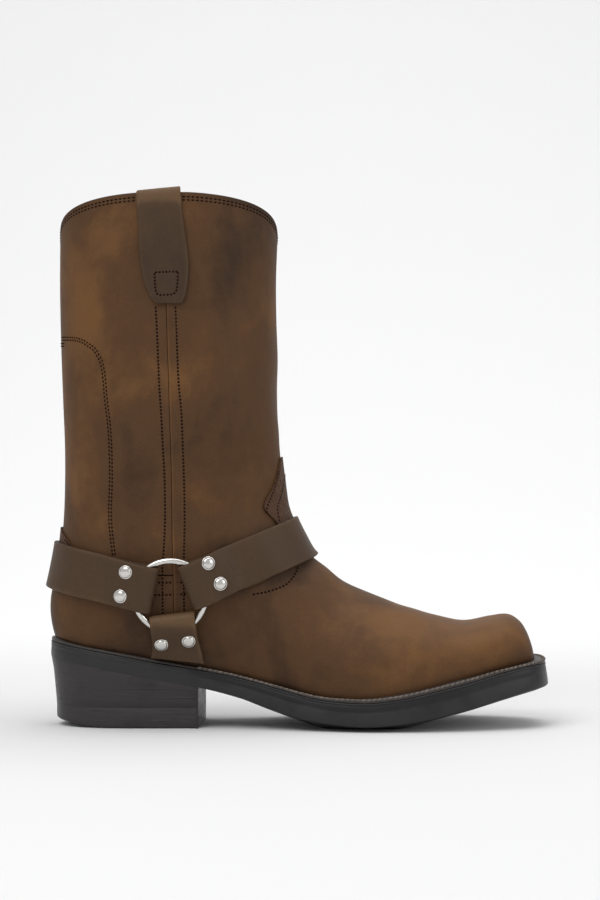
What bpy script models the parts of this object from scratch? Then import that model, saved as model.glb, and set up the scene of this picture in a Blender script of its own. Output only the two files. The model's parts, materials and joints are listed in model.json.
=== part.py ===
"""Pull-on harness boot, right foot: lasted hollow upper, welted sole, stacked heel and a ringed harness.

The toe points to +X, the outer side is -Y, and the sole stands on Z = 0. Tables and sizes are in millimetres,
and every point is turned into metres when its mesh is made.
"""

import math

import bmesh
import bpy
import numpy as np
from mathutils import Matrix, Vector
from mathutils.bvhtree import BVHTree

MM = 0.001

# Moves the tables' frame, whose x = 0 is under the instep, to the middle of the whole boot's box
FRAME_SHIFT = Vector((2.375, 0.52, 0.0))

# Leather and assembly sizes
UPPER_WALL = 2.4
STRAP_THICK = 2.4
PULL_THICK = 2.2
OVERLAY_THICK = 1.2
OVERLAY_GAP = 0.55
INSOLE_THICK = 3.0
INSOLE_CLEAR = 1.4
GAP = 0.3
STRAP_GAP = 0.4
SIDE_COLUMNS = 14
SIDE_CURVE_STEPS = 60
FINE_SUBDIVISION = 4
FINE_COLUMNS = 56

# Upper sections, from the toe tip over the instep and heel to the collar. Each is a curve from its top point,
# on the ridge line, down both sides to its base: first arches whose base is on the feather line, then closed
# rings whose base is on the line of the heel and back. Widths are half-widths, level is how far down the
# widest place is, crown and tuck are the fullness above and below it, ridge moves the top point to the inner
# side, rise is the share of the collar's dip, and cuts is the number of strips up to the next section.
SECTION_COLUMNS = (
    "top_x", "top_z", "base_x", "base_z", "base_out", "base_in", "wide_out", "wide_in",
    "level", "crown", "tuck", "ridge", "rise", "cuts",
)
SECTIONS = (
    (143.6, 46.0, 144.2, 41.3, 12.0, 14.0, 12.4, 14.4, 0.80, 2.4, 1.6, 1.0, 0.0, 1),
    (142.2, 51.5, 142.0, 40.9, 21.0, 23.0, 21.9, 23.9, 0.75, 2.4, 1.6, 1.4, 0.0, 1),
    (139.6, 58.3, 137.0, 39.9, 27.5, 29.8, 29.0, 31.3, 0.72, 2.4, 1.6, 1.8, 0.0, 1),
    (135.6, 64.0, 129.0, 38.4, 33.0, 35.2, 35.0, 37.2, 0.70, 2.4, 1.6, 2.2, 0.0, 1),
    (129.0, 67.4, 118.0, 36.2, 38.0, 39.8, 40.0, 41.8, 0.68, 2.35, 1.6, 2.5, 0.0, 1),
    (118.5, 66.3, 108.0, 33.8, 41.5, 42.8, 43.3, 44.6, 0.68, 2.3, 1.6, 2.7, 0.0, 1),
    (101.5, 63.5, 95.0, 31.1, 45.2, 45.2, 46.9, 46.9, 0.68, 2.25, 1.6, 3.0, 0.0, 2),
    (82.0, 67.6, 78.0, 26.7, 48.5, 47.0, 50.1, 48.4, 0.70, 2.15, 1.6, 3.2, 0.0, 2),
    (62.0, 73.6, 58.0, 22.6, 50.0, 47.2, 51.6, 48.6, 0.72, 2.05, 1.5, 3.2, 0.0, 2),
    (42.0, 81.2, 36.0, 20.0, 48.8, 44.6, 50.6, 46.4, 0.74, 1.95, 1.5, 3.0, 0.0, 2),
    (27.0, 88.0, 12.0, 21.1, 44.0, 39.8, 47.2, 43.4, 0.72, 1.9, 1.4, 2.6, 0.0, 2),
    (16.2, 96.7, -12.0, 26.6, 37.6, 34.0, 43.8, 40.8, 0.66, 1.9, 1.3, 2.0, 0.0, 2),
    (6.4, 104.7, -40.0, 33.3, 32.0, 29.2, 41.6, 39.4, 0.58, 1.9, 1.25, 1.4, 0.0, 2),
    (0.4, 115.0, -72.0, 39.5, 31.4, 29.2, 41.0, 39.8, 0.54, 1.9, 1.25, 0.8, 0.0, 2),
    (-5.0, 126.0, -106.0, 45.8, 31.6, 30.6, 41.6, 41.0, 0.50, 1.95, 1.3, 0.4, 0.0, 2),
    (-8.2, 134.5, -131.0, 50.1, 27.4, 27.0, 42.2, 41.9, 0.50, 2.0, 1.5, 0.2, 0.0, 2),
    (-9.3, 141.0, -145.0, 53.3, 18.2, 18.0, 42.7, 42.5, 0.50, 2.0, 1.8, 0.0, 0.0, 1),
    (-9.7, 144.6, -149.9, 54.6, 10.6, 10.5, 42.9, 42.7, 0.50, 2.0, 1.9, 0.0, 0.0, 1),
    (-10.1, 148.0, -151.9, 55.2, 0.0, 0.0, 43.2, 43.0, 0.50, 2.0, 2.0, 0.0, 0.0, 1),
    (-10.9, 155.0, -154.2, 66.0, 0.0, 0.0, 43.9, 43.8, 0.50, 2.0, 2.05, 0.0, 0.0, 1),
    (-11.8, 163.0, -154.2, 78.5, 0.0, 0.0, 44.8, 44.8, 0.50, 2.0, 2.1, 0.0, 0.0, 1),
    (-12.7, 171.5, -150.6, 96.0, 0.0, 0.0, 46.0, 46.0, 0.50, 2.0, 2.1, 0.0, 0.0, 1),
    (-13.4, 181.0, -147.3, 115.0, 0.0, 0.0, 47.4, 47.4, 0.50, 2.05, 2.1, 0.0, 0.0, 1),
    (-14.0, 193.0, -145.7, 138.0, 0.0, 0.0, 49.2, 49.2, 0.50, 2.1, 2.15, 0.0, 0.05, 1),
    (-14.2, 208.0, -145.4, 167.0, 0.0, 0.0, 50.9, 50.9, 0.50, 2.1, 2.15, 0.0, 0.15, 1),
    (-13.8, 226.0, -146.6, 199.0, 0.0, 0.0, 52.0, 52.0, 0.50, 2.1, 2.15, 0.0, 0.3, 1),
    (-14.6, 250.0, -147.8, 232.0, 0.0, 0.0, 52.6, 52.6, 0.50, 2.1, 2.15, 0.0, 0.5, 1),
    (-14.8, 275.0, -148.5, 266.0, 0.0, 0.0, 52.9, 52.9, 0.50, 2.1, 2.15, 0.0, 0.8, 1),
    (-13.8, 301.5, -148.3, 300.5, 0.0, 0.0, 53.0, 53.0, 0.50, 2.1, 2.15, 0.0, 1.0, 1),
)
TOE_POLE = (144.6, 1.0, 41.0)
COLLAR_RISE = 22.5
COLLAR_RISE_WIDTH = 52.0
COLLAR_RISE_POWER = 0.65
COLLAR_RISE_SOFTNESS = 0.05
LASTING_INSET = 0.8
HEEL_EASE_REACH = 5
HEEL_EASE_PASSES = 3
HEEL_EASE_EDGE = 0.16

# Sole: its edge by length. top is the upper edge of the outsole's side, under is its lower edge, floor is the
# underside's flat middle, and ledge is how far the edge stands out from the feather line.
SOLE_COLUMNS = ("x", "top", "under", "floor", "ledge")
SOLE = (
    (-160.0, 53.2, 43.6, 43.6, 3.0),
    (-136.0, 48.9, 39.1, 39.1, 3.0),
    (-115.0, 45.3, 35.2, 35.2, 3.0),
    (-92.0, 41.0, 30.9, 30.9, 3.0),
    (-62.0, 35.9, 25.3, 25.3, 3.2),
    (-38.0, 31.2, 19.4, 18.0, 3.8),
    (-18.0, 26.2, 13.0, 10.6, 4.4),
    (0.0, 21.5, 7.6, 4.6, 4.8),
    (18.0, 18.2, 4.9, 0.0, 5.0),
    (38.0, 17.2, 3.2, 0.0, 5.0),
    (58.0, 19.2, 4.7, 0.0, 5.0),
    (83.0, 24.6, 9.0, 5.6, 5.0),
    (102.0, 29.1, 13.3, 10.3, 5.1),
    (126.0, 35.4, 19.9, 17.2, 5.8),
    (143.0, 38.5, 23.8, 21.4, 7.0),
    (156.0, 39.0, 25.6, 23.4, 7.4),
)
FLAT_SHARE = 0.6
SIDE_LIP = 1.0
SIDE_GROOVE = 0.5
SIDE_GROOVE_SHARE = 0.36
SIDE_FLARE = 1.6
FLARE_LENGTH = 60.0
LIP_SHARE = 0.6
WELT_EDGE = 1.7
WELT_EDGE_SHARE = 0.75
WELT_SETBACK = 0.5
WELT_GAP = 0.45

# Heel: a stacked block with its breast at BREAST_X and a top lift under it, rolled up at the back
BREAST_X = -62.0
SEAT_SLOPE = 0.187
LIFT_TOP = 12.4
HEEL_CENTRE_X = -104.0
HEEL_INSET = 0.6
HEEL_TAPER = 3.6
HEEL_WAIST_SHARE = 0.55
LIFT_STEP = 0.5
LIFT_TAPER = 0.2
ROLL_START_X = -116.0
ROLL_END_X = -150.0
ROLL_HEIGHT = 4.6
ROLL_POWER = 1.5

# Harness: the ring's centre in side view, and each strap end there. Tilt is how far the strap climbs from
# the ring, fold is the distance of its fold from the ring's centre, shift is how far it sits across.
RING_X = -78.1
RING_Z = 82.2
RING_RADIUS = 21.45
RING_WIRE = 1.95
RING_SEGMENTS = (28, 8)
WIRE_GAP = 0.4
RING_PLANE_RADII = (12.0, 20.0, 28.0)
RING_PLANE_STEPS = 16
STRAP_COLUMNS = 4
TRACK_STEPS = 121
REAR_STRAP = {"heading": -1, "tilt": 12.0, "fold": 9.2, "shift": 1.1, "half_width": 14.2}
FRONT_STRAP = {"heading": 1, "tilt": 21.5, "fold": 9.7, "shift": 0.8, "half_width": 14.1}
LOWER_STRAP = {"tilt": -83.0, "fold": 10.4, "shift": -0.5, "half_width": 13.7, "end_half_width": 15.8}

# Rivets of each strap end: label, distance from the ring's centre, and place across the strap
REAR_RIVETS = (("a", 29.4, -7.2), ("b", 28.6, 7.8))
FRONT_RIVETS = (("a", 30.6, -5.1), ("b", 28.6, 9.3))
LOWER_RIVETS = (("a", 28.4, -8.4), ("b", 28.4, 8.2))
POCKET_FLAT_END = 22.6
RIVET_ZONE = (27.4, 30.0, 32.8)
RETURN_END = 36.5
SETTLE_PAST_RETURN = 3.0
SETTLE_STATIONS = (40.5, 45.0)
STRAP_STEP = 8.0
LAYER_SPLIT = 0.17
RAISED_BY_OVERLAY = 1.85
LOWER_RETURN_END = 32.6
LOWER_END = 37.6
LOWER_END_LIFT = 1.2
RIVET_PROFILE = ((0.0, 1.9), (1.9, 1.6), (3.4, 0.75), (4.0, 0.0), (0.0, 0.0))
RIVET_STEPS = 10
RIVET_GAP = 0.4

# Raised overlays: the vamp's tab up the front of the ankle, and the counter's peak at the back
OVERLAY_TABLE_COLUMNS = ("z", "half_width")
VAMP_TAB = (
    (110.0, 18.0),
    (120.0, 20.0),
    (127.0, 22.0),
    (133.0, 25.0),
    (138.0, 24.0),
    (145.0, 19.5),
    (152.0, 14.5),
    (159.0, 9.0),
    (163.5, 5.0),
    (165.0, 2.0),
)
COUNTER_PEAK = (
    (104.0, 28.0),
    (110.0, 26.5),
    (115.0, 20.0),
    (119.0, 11.0),
    (121.5, 3.0),
)
OVERLAY_COLUMNS = 8
ANKLE_RADIUS = 44.0
OVERLAY_REACH = 31.0
OVERLAY_FADE = 9.0

# Pull straps: centre and half-width by height on the outside, then over the collar and down inside
PULL_COLUMNS = ("z", "x", "half_width")
PULL_STRAP = (
    (257.3, -78.8, 8.0),
    (260.0, -79.1, 9.8),
    (268.0, -80.2, 12.6),
    (281.0, -81.2, 14.4),
    (296.0, -82.6, 13.9),
    (310.0, -83.8, 13.4),
    (322.6, -84.8, 13.1),
)
PULL_TURN_STEPS = 6
PULL_INNER_GAP = 0.85

FINISHES = {
    "leather": ((0.115, 0.058, 0.028), 0.55, 0.0),
    "strap_leather": ((0.085, 0.050, 0.030), 0.55, 0.0),
    "insole_leather": ((0.30, 0.20, 0.12), 0.8, 0.0),
    "sole_rubber": ((0.035, 0.033, 0.034), 0.45, 0.0),
    "welt_leather": ((0.040, 0.032, 0.028), 0.5, 0.0),
    "nickel": ((0.62, 0.60, 0.57), 0.22, 1.0),
}


def clear_scene():
    for obj in list(bpy.data.objects):
        bpy.data.objects.remove(obj, do_unlink=True)


def material(name):
    found = bpy.data.materials.get(name)
    if found:
        return found
    colour, roughness, metallic = FINISHES[name]
    made = bpy.data.materials.new(name)
    made.use_nodes = True
    shader = made.node_tree.nodes["Principled BSDF"]
    shader.inputs["Base Color"].default_value = (*colour, 1.0)
    shader.inputs["Roughness"].default_value = roughness
    shader.inputs["Metallic"].default_value = metallic
    return made


def column(table, names, name):
    return np.array([row[names.index(name)] for row in table], dtype=float)


def sole_at(name, x):
    """A smooth value from the sole table at x."""
    xs = column(SOLE, SOLE_COLUMNS, "x")
    values = column(SOLE, SOLE_COLUMNS, name)
    return smooth_lookup(xs, values, x)


def smooth_lookup(xs, values, x):
    """Monotone cubic reading of a table, so flat stretches stay flat."""
    x = min(max(x, xs[0]), xs[-1])
    slopes = np.diff(values) / np.diff(xs)
    tangents = np.zeros(len(xs))
    tangents[0] = slopes[0]
    tangents[-1] = slopes[-1]
    for i in range(1, len(xs) - 1):
        if slopes[i - 1] * slopes[i] > 0:
            tangents[i] = 2 * slopes[i - 1] * slopes[i] / (slopes[i - 1] + slopes[i])
    i = min(int(np.searchsorted(xs, x, side="right")) - 1, len(xs) - 2)
    span = xs[i + 1] - xs[i]
    t = (x - xs[i]) / span
    return (
        (1 + 2 * t) * (1 - t) ** 2 * values[i]
        + t * (1 - t) ** 2 * span * tangents[i]
        + t * t * (3 - 2 * t) * values[i + 1]
        + t * t * (t - 1) * span * tangents[i + 1]
    )


def sections(subdivision=1):
    """The section rows with smooth rows between them, as dictionaries."""
    table = np.array(SECTIONS, dtype=float)
    rows = []
    last = len(table) - 1
    for i in range(last):
        cuts = int(table[i][-1]) * subdivision
        before = table[max(i - 1, 0)]
        after = table[min(i + 2, last)]
        for k in range(cuts):
            t = k / cuts
            rows.append(catmull_rom(before, table[i], table[i + 1], after, t))
    rows.append(table[last])
    found = [dict(zip(SECTION_COLUMNS, row)) for row in rows]
    for row in found:
        row["base_out"] = max(row["base_out"], 0.0)
        row["base_in"] = max(row["base_in"], 0.0)
    return found


def catmull_rom(a, b, c, d, t):
    return 0.5 * (
        2 * b + (c - a) * t + (2 * a - 5 * b + 4 * c - d) * t * t + (3 * b - a - 3 * c + d) * t**3
    )


def collar_rise(y):
    """How much higher the collar is at this distance from the centre plane."""
    share = min(abs(y) / COLLAR_RISE_WIDTH, 1.0)
    soft = math.hypot(share, COLLAR_RISE_SOFTNESS) - COLLAR_RISE_SOFTNESS
    soft /= math.hypot(1.0, COLLAR_RISE_SOFTNESS) - COLLAR_RISE_SOFTNESS
    return COLLAR_RISE * soft**COLLAR_RISE_POWER


def side_curve(row, base, wide, count):
    """(depth, width) pairs from the ridge to the base, evenly spaced along one side of a section."""
    steps = SIDE_CURVE_STEPS
    points = []
    for k in range(steps + 1):
        angle = 0.5 * math.pi * k / steps
        depth = row["level"] * (1 - math.cos(angle) ** (2 / row["crown"]))
        points.append((depth, wide * math.sin(angle) ** (2 / row["crown"])))
    for k in range(1, steps + 1):
        angle = 0.5 * math.pi * k / steps
        depth = row["level"] + (1 - row["level"]) * math.sin(angle) ** (2 / row["tuck"])
        width = base + (wide - base) * max(math.cos(angle), 0.0) ** (2 / row["tuck"])
        points.append((depth, width))
    points = np.array(points)
    length = math.hypot(row["top_x"] - row["base_x"], row["top_z"] - row["base_z"])
    real = points * np.array([length, 1.0])
    along = np.concatenate([[0.0], np.cumsum(np.linalg.norm(np.diff(real, axis=0), axis=1))])
    wanted = np.linspace(0.0, along[-1], count + 1)
    depths = np.interp(wanted, along, points[:, 0])
    widths = np.interp(wanted, along, points[:, 1])
    return list(zip(depths, widths))


def section_point(row, depth, width, side):
    x = row["top_x"] + (row["base_x"] - row["top_x"]) * depth
    z = row["top_z"] + (row["base_z"] - row["top_z"]) * depth
    y = row["ridge"] * (1 - depth) + side * width
    return Vector((x, y, z + row["rise"] * collar_rise(y)))


def section_points(row, count=SIDE_COLUMNS):
    """One section from its outer base over the ridge to its inner base."""
    outer = side_curve(row, row["base_out"], row["wide_out"], count)
    inner = side_curve(row, row["base_in"], row["wide_in"], count)
    points = [section_point(row, depth, width, -1) for depth, width in reversed(outer)]
    return points + [section_point(row, depth, width, 1) for depth, width in inner[1:]]


def is_arch(row):
    return row["base_out"] > 0.0


def feather_rows():
    """(outer, inner) points of the feather line, from the toe to the heel's tip."""
    found = []
    for row in sections():
        points = section_points(row)
        found.append((points[0], points[-1]))
        if not is_arch(row):
            break
    return found


def offset_rows(rows, distance):
    """The same pairs moved outwards in plan by distance, a number or a function of x."""
    loop = [outer for outer, _ in rows] + [inner for _, inner in reversed(rows[:-1])]
    moved = []
    total = len(loop)
    for i, point in enumerate(loop):
        before = loop[i - 1]
        after = loop[(i + 1) % total]
        one = outward(before, point)
        two = outward(point, after)
        normal = (one + two).normalized()
        reach = distance(point.x) if callable(distance) else distance
        reach /= max(normal.dot(one), 0.5)
        moved.append(Vector((point.x + normal.x * reach, point.y + normal.y * reach, point.z)))
    tip = moved[len(rows) - 1]
    return [(moved[i], moved[total - 1 - i]) for i in range(len(rows) - 1)] + [(tip, tip)]


def outward(a, b):
    """Plan normal of the stretch from a to b of a loop that runs along the outer side to the heel."""
    along = Vector((b.x - a.x, b.y - a.y, 0.0)).normalized()
    return Vector((along.y, -along.x, 0.0)) * -1.0


def make_object(name, points, faces, finish, parts, smooth_angle=40.0):
    """A mesh object from points in millimetres, with doubles merged and its faces turned outwards."""
    mesh = bpy.data.meshes.new(name)
    mesh.from_pydata([tuple((point + FRAME_SHIFT) * MM) for point in points], [], faces)
    work = bmesh.new()
    work.from_mesh(mesh)
    bmesh.ops.remove_doubles(work, verts=work.verts, dist=1e-7)
    bmesh.ops.recalc_face_normals(work, faces=work.faces)
    work.to_mesh(mesh)
    work.free()
    mesh.shade_smooth()
    mesh.set_sharp_from_angle(angle=math.radians(smooth_angle))
    obj = bpy.data.objects.new(name, mesh)
    mesh.materials.append(material(finish))
    parts.objects.link(obj)
    return obj


def ease_heel(grid, arches, subdivision):
    """Even out the rows round the heel, where the arches turn into closed rings, but not their ends."""
    reach = HEEL_EASE_REACH * subdivision
    last = len(grid[0]) - 1
    for _ in range(HEEL_EASE_PASSES * subdivision**2):
        old = [list(line) for line in grid]
        for i in range(arches - reach + 1, arches + reach):
            near = 1 - abs(i - arches) / reach
            for j in range(1, last):
                inside = min(min(j, last - j) / (HEEL_EASE_EDGE * last), 1.0)
                mean = 0.5 * (old[i - 1][j] + old[i + 1][j])
                grid[i][j] = old[i][j].lerp(mean, 0.5 * near * inside)
    return grid


def upper_surface(subdivision=1, count=SIDE_COLUMNS):
    """Points and faces of the upper's outer face, open at the collar and underneath."""
    rows = sections(subdivision)
    grid = [section_points(row, count) for row in rows]
    arches = 0
    while is_arch(rows[arches]):
        arches += 1
    grid = ease_heel(grid, arches, subdivision)
    points = [Vector(TOE_POLE)]
    width = 2 * count + 1
    index = []
    for line in grid:
        index.append(list(range(len(points), len(points) + width)))
        points.extend(line)
    faces = [(0, index[0][j + 1], index[0][j]) for j in range(width - 1)]
    for i in range(len(grid) - 1):
        for j in range(width - 1):
            faces.append((index[i][j], index[i][j + 1], index[i + 1][j + 1], index[i + 1][j]))
    skirts = [skirt_point(Vector(TOE_POLE), Vector((1, 0, 0)))]
    skirts_at = len(points)
    pairs = feather_rows_of(grid, arches)
    inner_pairs = offset_rows(pairs, -LASTING_INSET)
    for (outer, inner), (moved_out, moved_in) in zip(pairs, inner_pairs):
        skirts.append(Vector((moved_out.x, moved_out.y, skirt_level(outer.x))))
        skirts.append(Vector((moved_in.x, moved_in.y, skirt_level(inner.x))))
    points.extend(skirts)
    faces.append((0, index[0][0], skirts_at + 1, skirts_at))
    faces.append((index[0][-1], 0, skirts_at, skirts_at + 2))
    for i in range(arches):
        low = skirts_at + 1 + 2 * i
        faces.append((index[i][0], index[i + 1][0], low + 2, low))
        faces.append((index[i + 1][-1], index[i][-1], low + 1, low + 3))
    return points, faces


def feather_rows_of(grid, arches):
    return [(line[0], line[-1]) for line in grid[: arches + 1]]


def skirt_level(x):
    """Where the upper's lower edge stands, just off the outsole."""
    return sole_at("top", x) + GAP


def skirt_point(point, direction):
    moved = point - direction * LASTING_INSET
    return Vector((moved.x, moved.y, skirt_level(point.x)))


def solidify(obj, thickness):
    """Thicken an open surface inwards."""
    modifier = obj.modifiers.new("Wall", "SOLIDIFY")
    modifier.thickness = thickness * MM
    modifier.offset = -1.0
    modifier.use_even_offset = True
    modifier.use_quality_normals = True
    modifier.thickness_clamp = 0.9
    return obj


def make_upper(parts):
    points, faces = upper_surface()
    return solidify(make_object("upper", points, faces, "leather", parts), UPPER_WALL)


def fine_surface():
    """A finer copy of the upper's outer face, which the harness is laid on."""
    points, faces = upper_surface(FINE_SUBDIVISION, FINE_COLUMNS)
    work = bmesh.new()
    made = [work.verts.new(point) for point in points]
    for face in faces:
        work.faces.new([made[i] for i in face])
    bmesh.ops.remove_doubles(work, verts=work.verts, dist=1e-4)
    bmesh.ops.recalc_face_normals(work, faces=work.faces)
    tree = BVHTree.FromBMesh(work)
    work.free()
    return tree


def strip_faces(rings, closed):
    """Faces between rings of equal length; when not closed, the first and last ring are capped."""
    size = len(rings[0])
    faces = []
    count = len(rings)
    for i in range(count if closed else count - 1):
        here = i * size
        there = (i + 1) % count * size
        for j in range(size):
            k = (j + 1) % size
            faces.append((here + j, here + k, there + k, there + j))
    if not closed:
        faces.append(tuple(range(size)))
        faces.append(tuple(range((count - 1) * size, count * size)))
    return faces


def loft(name, rings, finish, parts, closed=False):
    points = [point for ring in rings for point in ring]
    return make_object(name, points, strip_faces(rings, closed), finish, parts)


def make_outsole(parts):
    feather = feather_rows()
    edge = offset_rows(feather, lambda x: sole_at("ledge", x))
    lip = offset_rows(feather, lambda x: sole_at("ledge", x) - SIDE_LIP * LIP_SHARE)
    groove = offset_rows(feather, lambda x: sole_at("ledge", x) - SIDE_GROOVE)
    foot = offset_rows(feather, lambda x: sole_at("ledge", x) + flare(x))
    seat = offset_rows(feather, -LASTING_INSET)
    rings = []
    for i in range(len(feather)):
        ring = []
        for side in (0, 1):
            x = edge[i][side].x
            top = sole_at("top", x)
            under = under_level("under", x)
            level = top - SIDE_GROOVE_SHARE * (top - under)
            half = [
                with_z(lip[i][side], top),
                with_z(edge[i][side], top - SIDE_LIP),
                with_z(groove[i][side], level),
                with_z(foot[i][side], under_level("under", foot[i][side].x)),
            ]
            ring.append(half)
        out, inn = ring
        middle = 0.5 * (foot[i][0] + foot[i][1])
        flats = [middle.lerp(foot[i][side], FLAT_SHARE) for side in (0, 1)]
        flats = [with_z(point, under_level("floor", point.x)) for point in flats]
        seats = [with_z(seat[i][side], sole_at("top", seat[i][side].x)) for side in (1, 0)]
        rings.append(out + flats + list(reversed(inn)) + seats)
    return loft("outsole", rings, "sole_rubber", parts)


def flare(x):
    """The side leans out to its lower edge in front of the heel."""
    return SIDE_FLARE * min(max((x - BREAST_X) / FLARE_LENGTH, 0.0), 1.0)


def with_z(point, z):
    return Vector((point.x, point.y, z))


def make_insole(parts):
    inner = offset_rows(feather_rows(), -(LASTING_INSET + UPPER_WALL + INSOLE_CLEAR))
    rings = []
    for out, inn in inner[:-1]:
        middle = 0.5 * (out + inn)
        ring = []
        for lift, order in ((0.0, (out, middle, inn)), (INSOLE_THICK, (inn, middle, out))):
            for point in order:
                ring.append(with_z(point, skirt_level(point.x) + GAP + lift))
        rings.append(ring)
    return loft("insole", rings, "insole_leather", parts)


def make_welt(parts):
    feather = feather_rows()
    inner = offset_rows(feather, WELT_GAP)
    outer = offset_rows(feather, lambda x: sole_at("ledge", x) - WELT_SETBACK)
    loops = []
    for rows in (feather, inner, outer):
        loops.append([out for out, _ in rows] + [inn for _, inn in reversed(rows[:-1])])
    rings = []
    for base, near, far in zip(*loops):
        low = sole_at("top", near.x) + GAP
        low_far = sole_at("top", far.x) + GAP
        edge = min(WELT_EDGE, WELT_EDGE_SHARE * (base.z - low))
        rings.append(
            [
                with_z(near, low),
                with_z(far, low_far),
                with_z(far, low_far + edge),
                with_z(near, base.z - GAP),
            ]
        )
    return loft("welt", rings, "welt_leather", parts, closed=True)


def heel_rows():
    """Pairs of the sole's edge from the breast back to the heel's tip."""
    edge = offset_rows(feather_rows(), lambda x: sole_at("ledge", x))
    behind = [pair for pair in edge if pair[0].x < BREAST_X - 2.0]
    before = edge[len(edge) - len(behind) - 1]
    share = (BREAST_X - before[0].x) / (behind[0][0].x - before[0].x)
    first = tuple(a.lerp(b, share) for a, b in zip(before, behind[0]))
    first = tuple(Vector((BREAST_X, point.y, 0.0)) for point in first)
    return [first] + behind


def inset_heel(rows, distance):
    """Heel outline drawn in by distance, with the breast left where it is."""
    centre = Vector((HEEL_CENTRE_X, 0.0, 0.0))
    found = []
    for pair in rows:
        moved = []
        for point in pair:
            flat = Vector((point.x, point.y, 0.0))
            away = flat - centre
            away.x = min(away.x, 0.0)
            moved.append(flat - away.normalized() * distance)
        found.append(tuple(moved))
    return found


def seat_level(x):
    """The plane of the outsole's underside over the heel."""
    return sole_at("under", BREAST_X) + SEAT_SLOPE * (BREAST_X - x)


def under_level(name, x):
    """The outsole's underside at x: its edge or its flat middle, and one plane over the heel."""
    return seat_level(x) if x <= BREAST_X else sole_at(name, x)


def roll_level(x):
    share = (ROLL_START_X - x) / (ROLL_START_X - ROLL_END_X)
    return ROLL_HEIGHT * min(max(share, 0.0), 1.1) ** ROLL_POWER


def make_heel(parts):
    rows = heel_rows()
    top = inset_heel(rows, HEEL_INSET)
    waist = inset_heel(rows, HEEL_INSET + HEEL_WAIST_SHARE * HEEL_TAPER)
    joint = inset_heel(rows, HEEL_TAPER)
    rings = []
    for a, b, c in zip(top, waist, joint):
        ring = [with_z(a[0], seat_level(a[0].x) - GAP)]
        ring.append(with_z(b[0], 0.5 * (seat_level(b[0].x) + LIFT_TOP)))
        ring.append(with_z(c[0], LIFT_TOP + GAP))
        ring.append(with_z(c[1], LIFT_TOP + GAP))
        ring.append(with_z(b[1], 0.5 * (seat_level(b[1].x) + LIFT_TOP)))
        ring.append(with_z(a[1], seat_level(a[1].x) - GAP))
        rings.append(ring)
    loft("heel_block", rings, "sole_rubber", parts)
    upper_edge = inset_heel(rows, HEEL_TAPER - LIFT_STEP)
    lower_edge = inset_heel(rows, HEEL_TAPER + LIFT_TAPER)
    rings = []
    for a, b in zip(upper_edge, lower_edge):
        rings.append(
            [
                with_z(a[0], LIFT_TOP),
                with_z(b[0], roll_level(b[0].x)),
                with_z(b[1], roll_level(b[1].x)),
                with_z(a[1], LIFT_TOP),
            ]
        )
    loft("heel_top_lift", rings, "sole_rubber", parts)


def surface_hit(tree, origin, direction):
    """The upper's outer face and its normal where a ray from inside leaves it."""
    point, normal, _, _ = tree.ray_cast(origin, direction)
    if normal.dot(direction) < 0:
        normal = -normal
    return point, normal


class RingFrame:
    """The plane of one ring, laid over the side of the ankle: origin at its centre, normal pointing away."""

    def __init__(self, tree, side):
        self.side = side
        samples = []
        for radius in RING_PLANE_RADII:
            for step in range(RING_PLANE_STEPS):
                angle = 2 * math.pi * step / RING_PLANE_STEPS
                x = RING_X + radius * math.cos(angle)
                z = RING_Z + radius * math.sin(angle)
                point, _ = surface_hit(tree, Vector((x, 0, z)), Vector((0, side, 0)))
                samples.append(point)
        known = np.array([(1.0, point.x - RING_X, point.z - RING_Z) for point in samples])
        offset, by_x, by_z = np.linalg.lstsq(known, np.array([point.y for point in samples]), rcond=None)[0]
        self.normal = Vector((-by_x, 1.0, -by_z)).normalized() * side
        on_plane = Vector((RING_X, offset, RING_Z))
        bulge = max((point - on_plane).dot(self.normal) for point in samples)
        lift = bulge + STRAP_GAP + STRAP_THICK + WIRE_GAP + RING_WIRE
        self.centre = on_plane + self.normal * lift

    def axes(self, along, across):
        """Unit directions in the ring's plane for a strap that runs along, with its width across."""
        u = (along - self.normal * along.dot(self.normal)).normalized()
        w = across - self.normal * across.dot(self.normal)
        w = (w - u * w.dot(u)).normalized()
        return u, w


class BandTrack:
    """A flat band laid round the ankle from ring to ring, read by distance from either ring's centre."""

    def __init__(self, tree, strap):
        self.tree = tree
        tilt = math.radians(strap["tilt"])
        self.along = Vector((strap["heading"] * math.cos(tilt), 0, math.sin(tilt)))
        self.across = Vector((-strap["heading"] * math.sin(tilt), 0, math.cos(tilt)))
        self.centre = Vector((RING_X, 0, RING_Z)) + self.across * strap["shift"]
        self.lengths = {side: self.measure(side) for side in (-1, 1)}

    def direction(self, angle, side):
        return self.along * math.cos(angle) + Vector((0, side * math.sin(angle), 0))

    def measure(self, side):
        """(angle, distance) along the middle of the band, from a ring's centre to the centre plane."""
        angles = np.linspace(0.5 * math.pi, 0.0, TRACK_STEPS)
        hits = [surface_hit(self.tree, self.centre, self.direction(angle, side))[0] for angle in angles]
        steps = [0.0] + [(b - a).length for a, b in zip(hits, hits[1:])]
        return angles, np.cumsum(steps)

    def half_length(self, side):
        return float(self.lengths[side][1][-1])

    def at(self, side, distance, across):
        angles, lengths = self.lengths[side]
        angle = float(np.interp(distance, lengths, angles))
        start = self.centre + self.across * across
        return surface_hit(self.tree, start, self.direction(angle, side))


class DownTrack:
    """A strap that runs from a ring down to the sole on one side."""

    def __init__(self, tree, strap):
        self.tree = tree
        tilt = math.radians(strap["tilt"])
        self.along = Vector((math.cos(tilt), 0, math.sin(tilt)))
        self.across = Vector((-math.sin(tilt), 0, math.cos(tilt)))
        self.centre = Vector((RING_X, 0, RING_Z)) + self.across * strap["shift"]

    def at(self, side, distance, across):
        start = self.centre + self.along * distance + self.across * across
        return surface_hit(self.tree, Vector((start.x, 0, start.z)), Vector((0, side, 0)))


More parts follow.
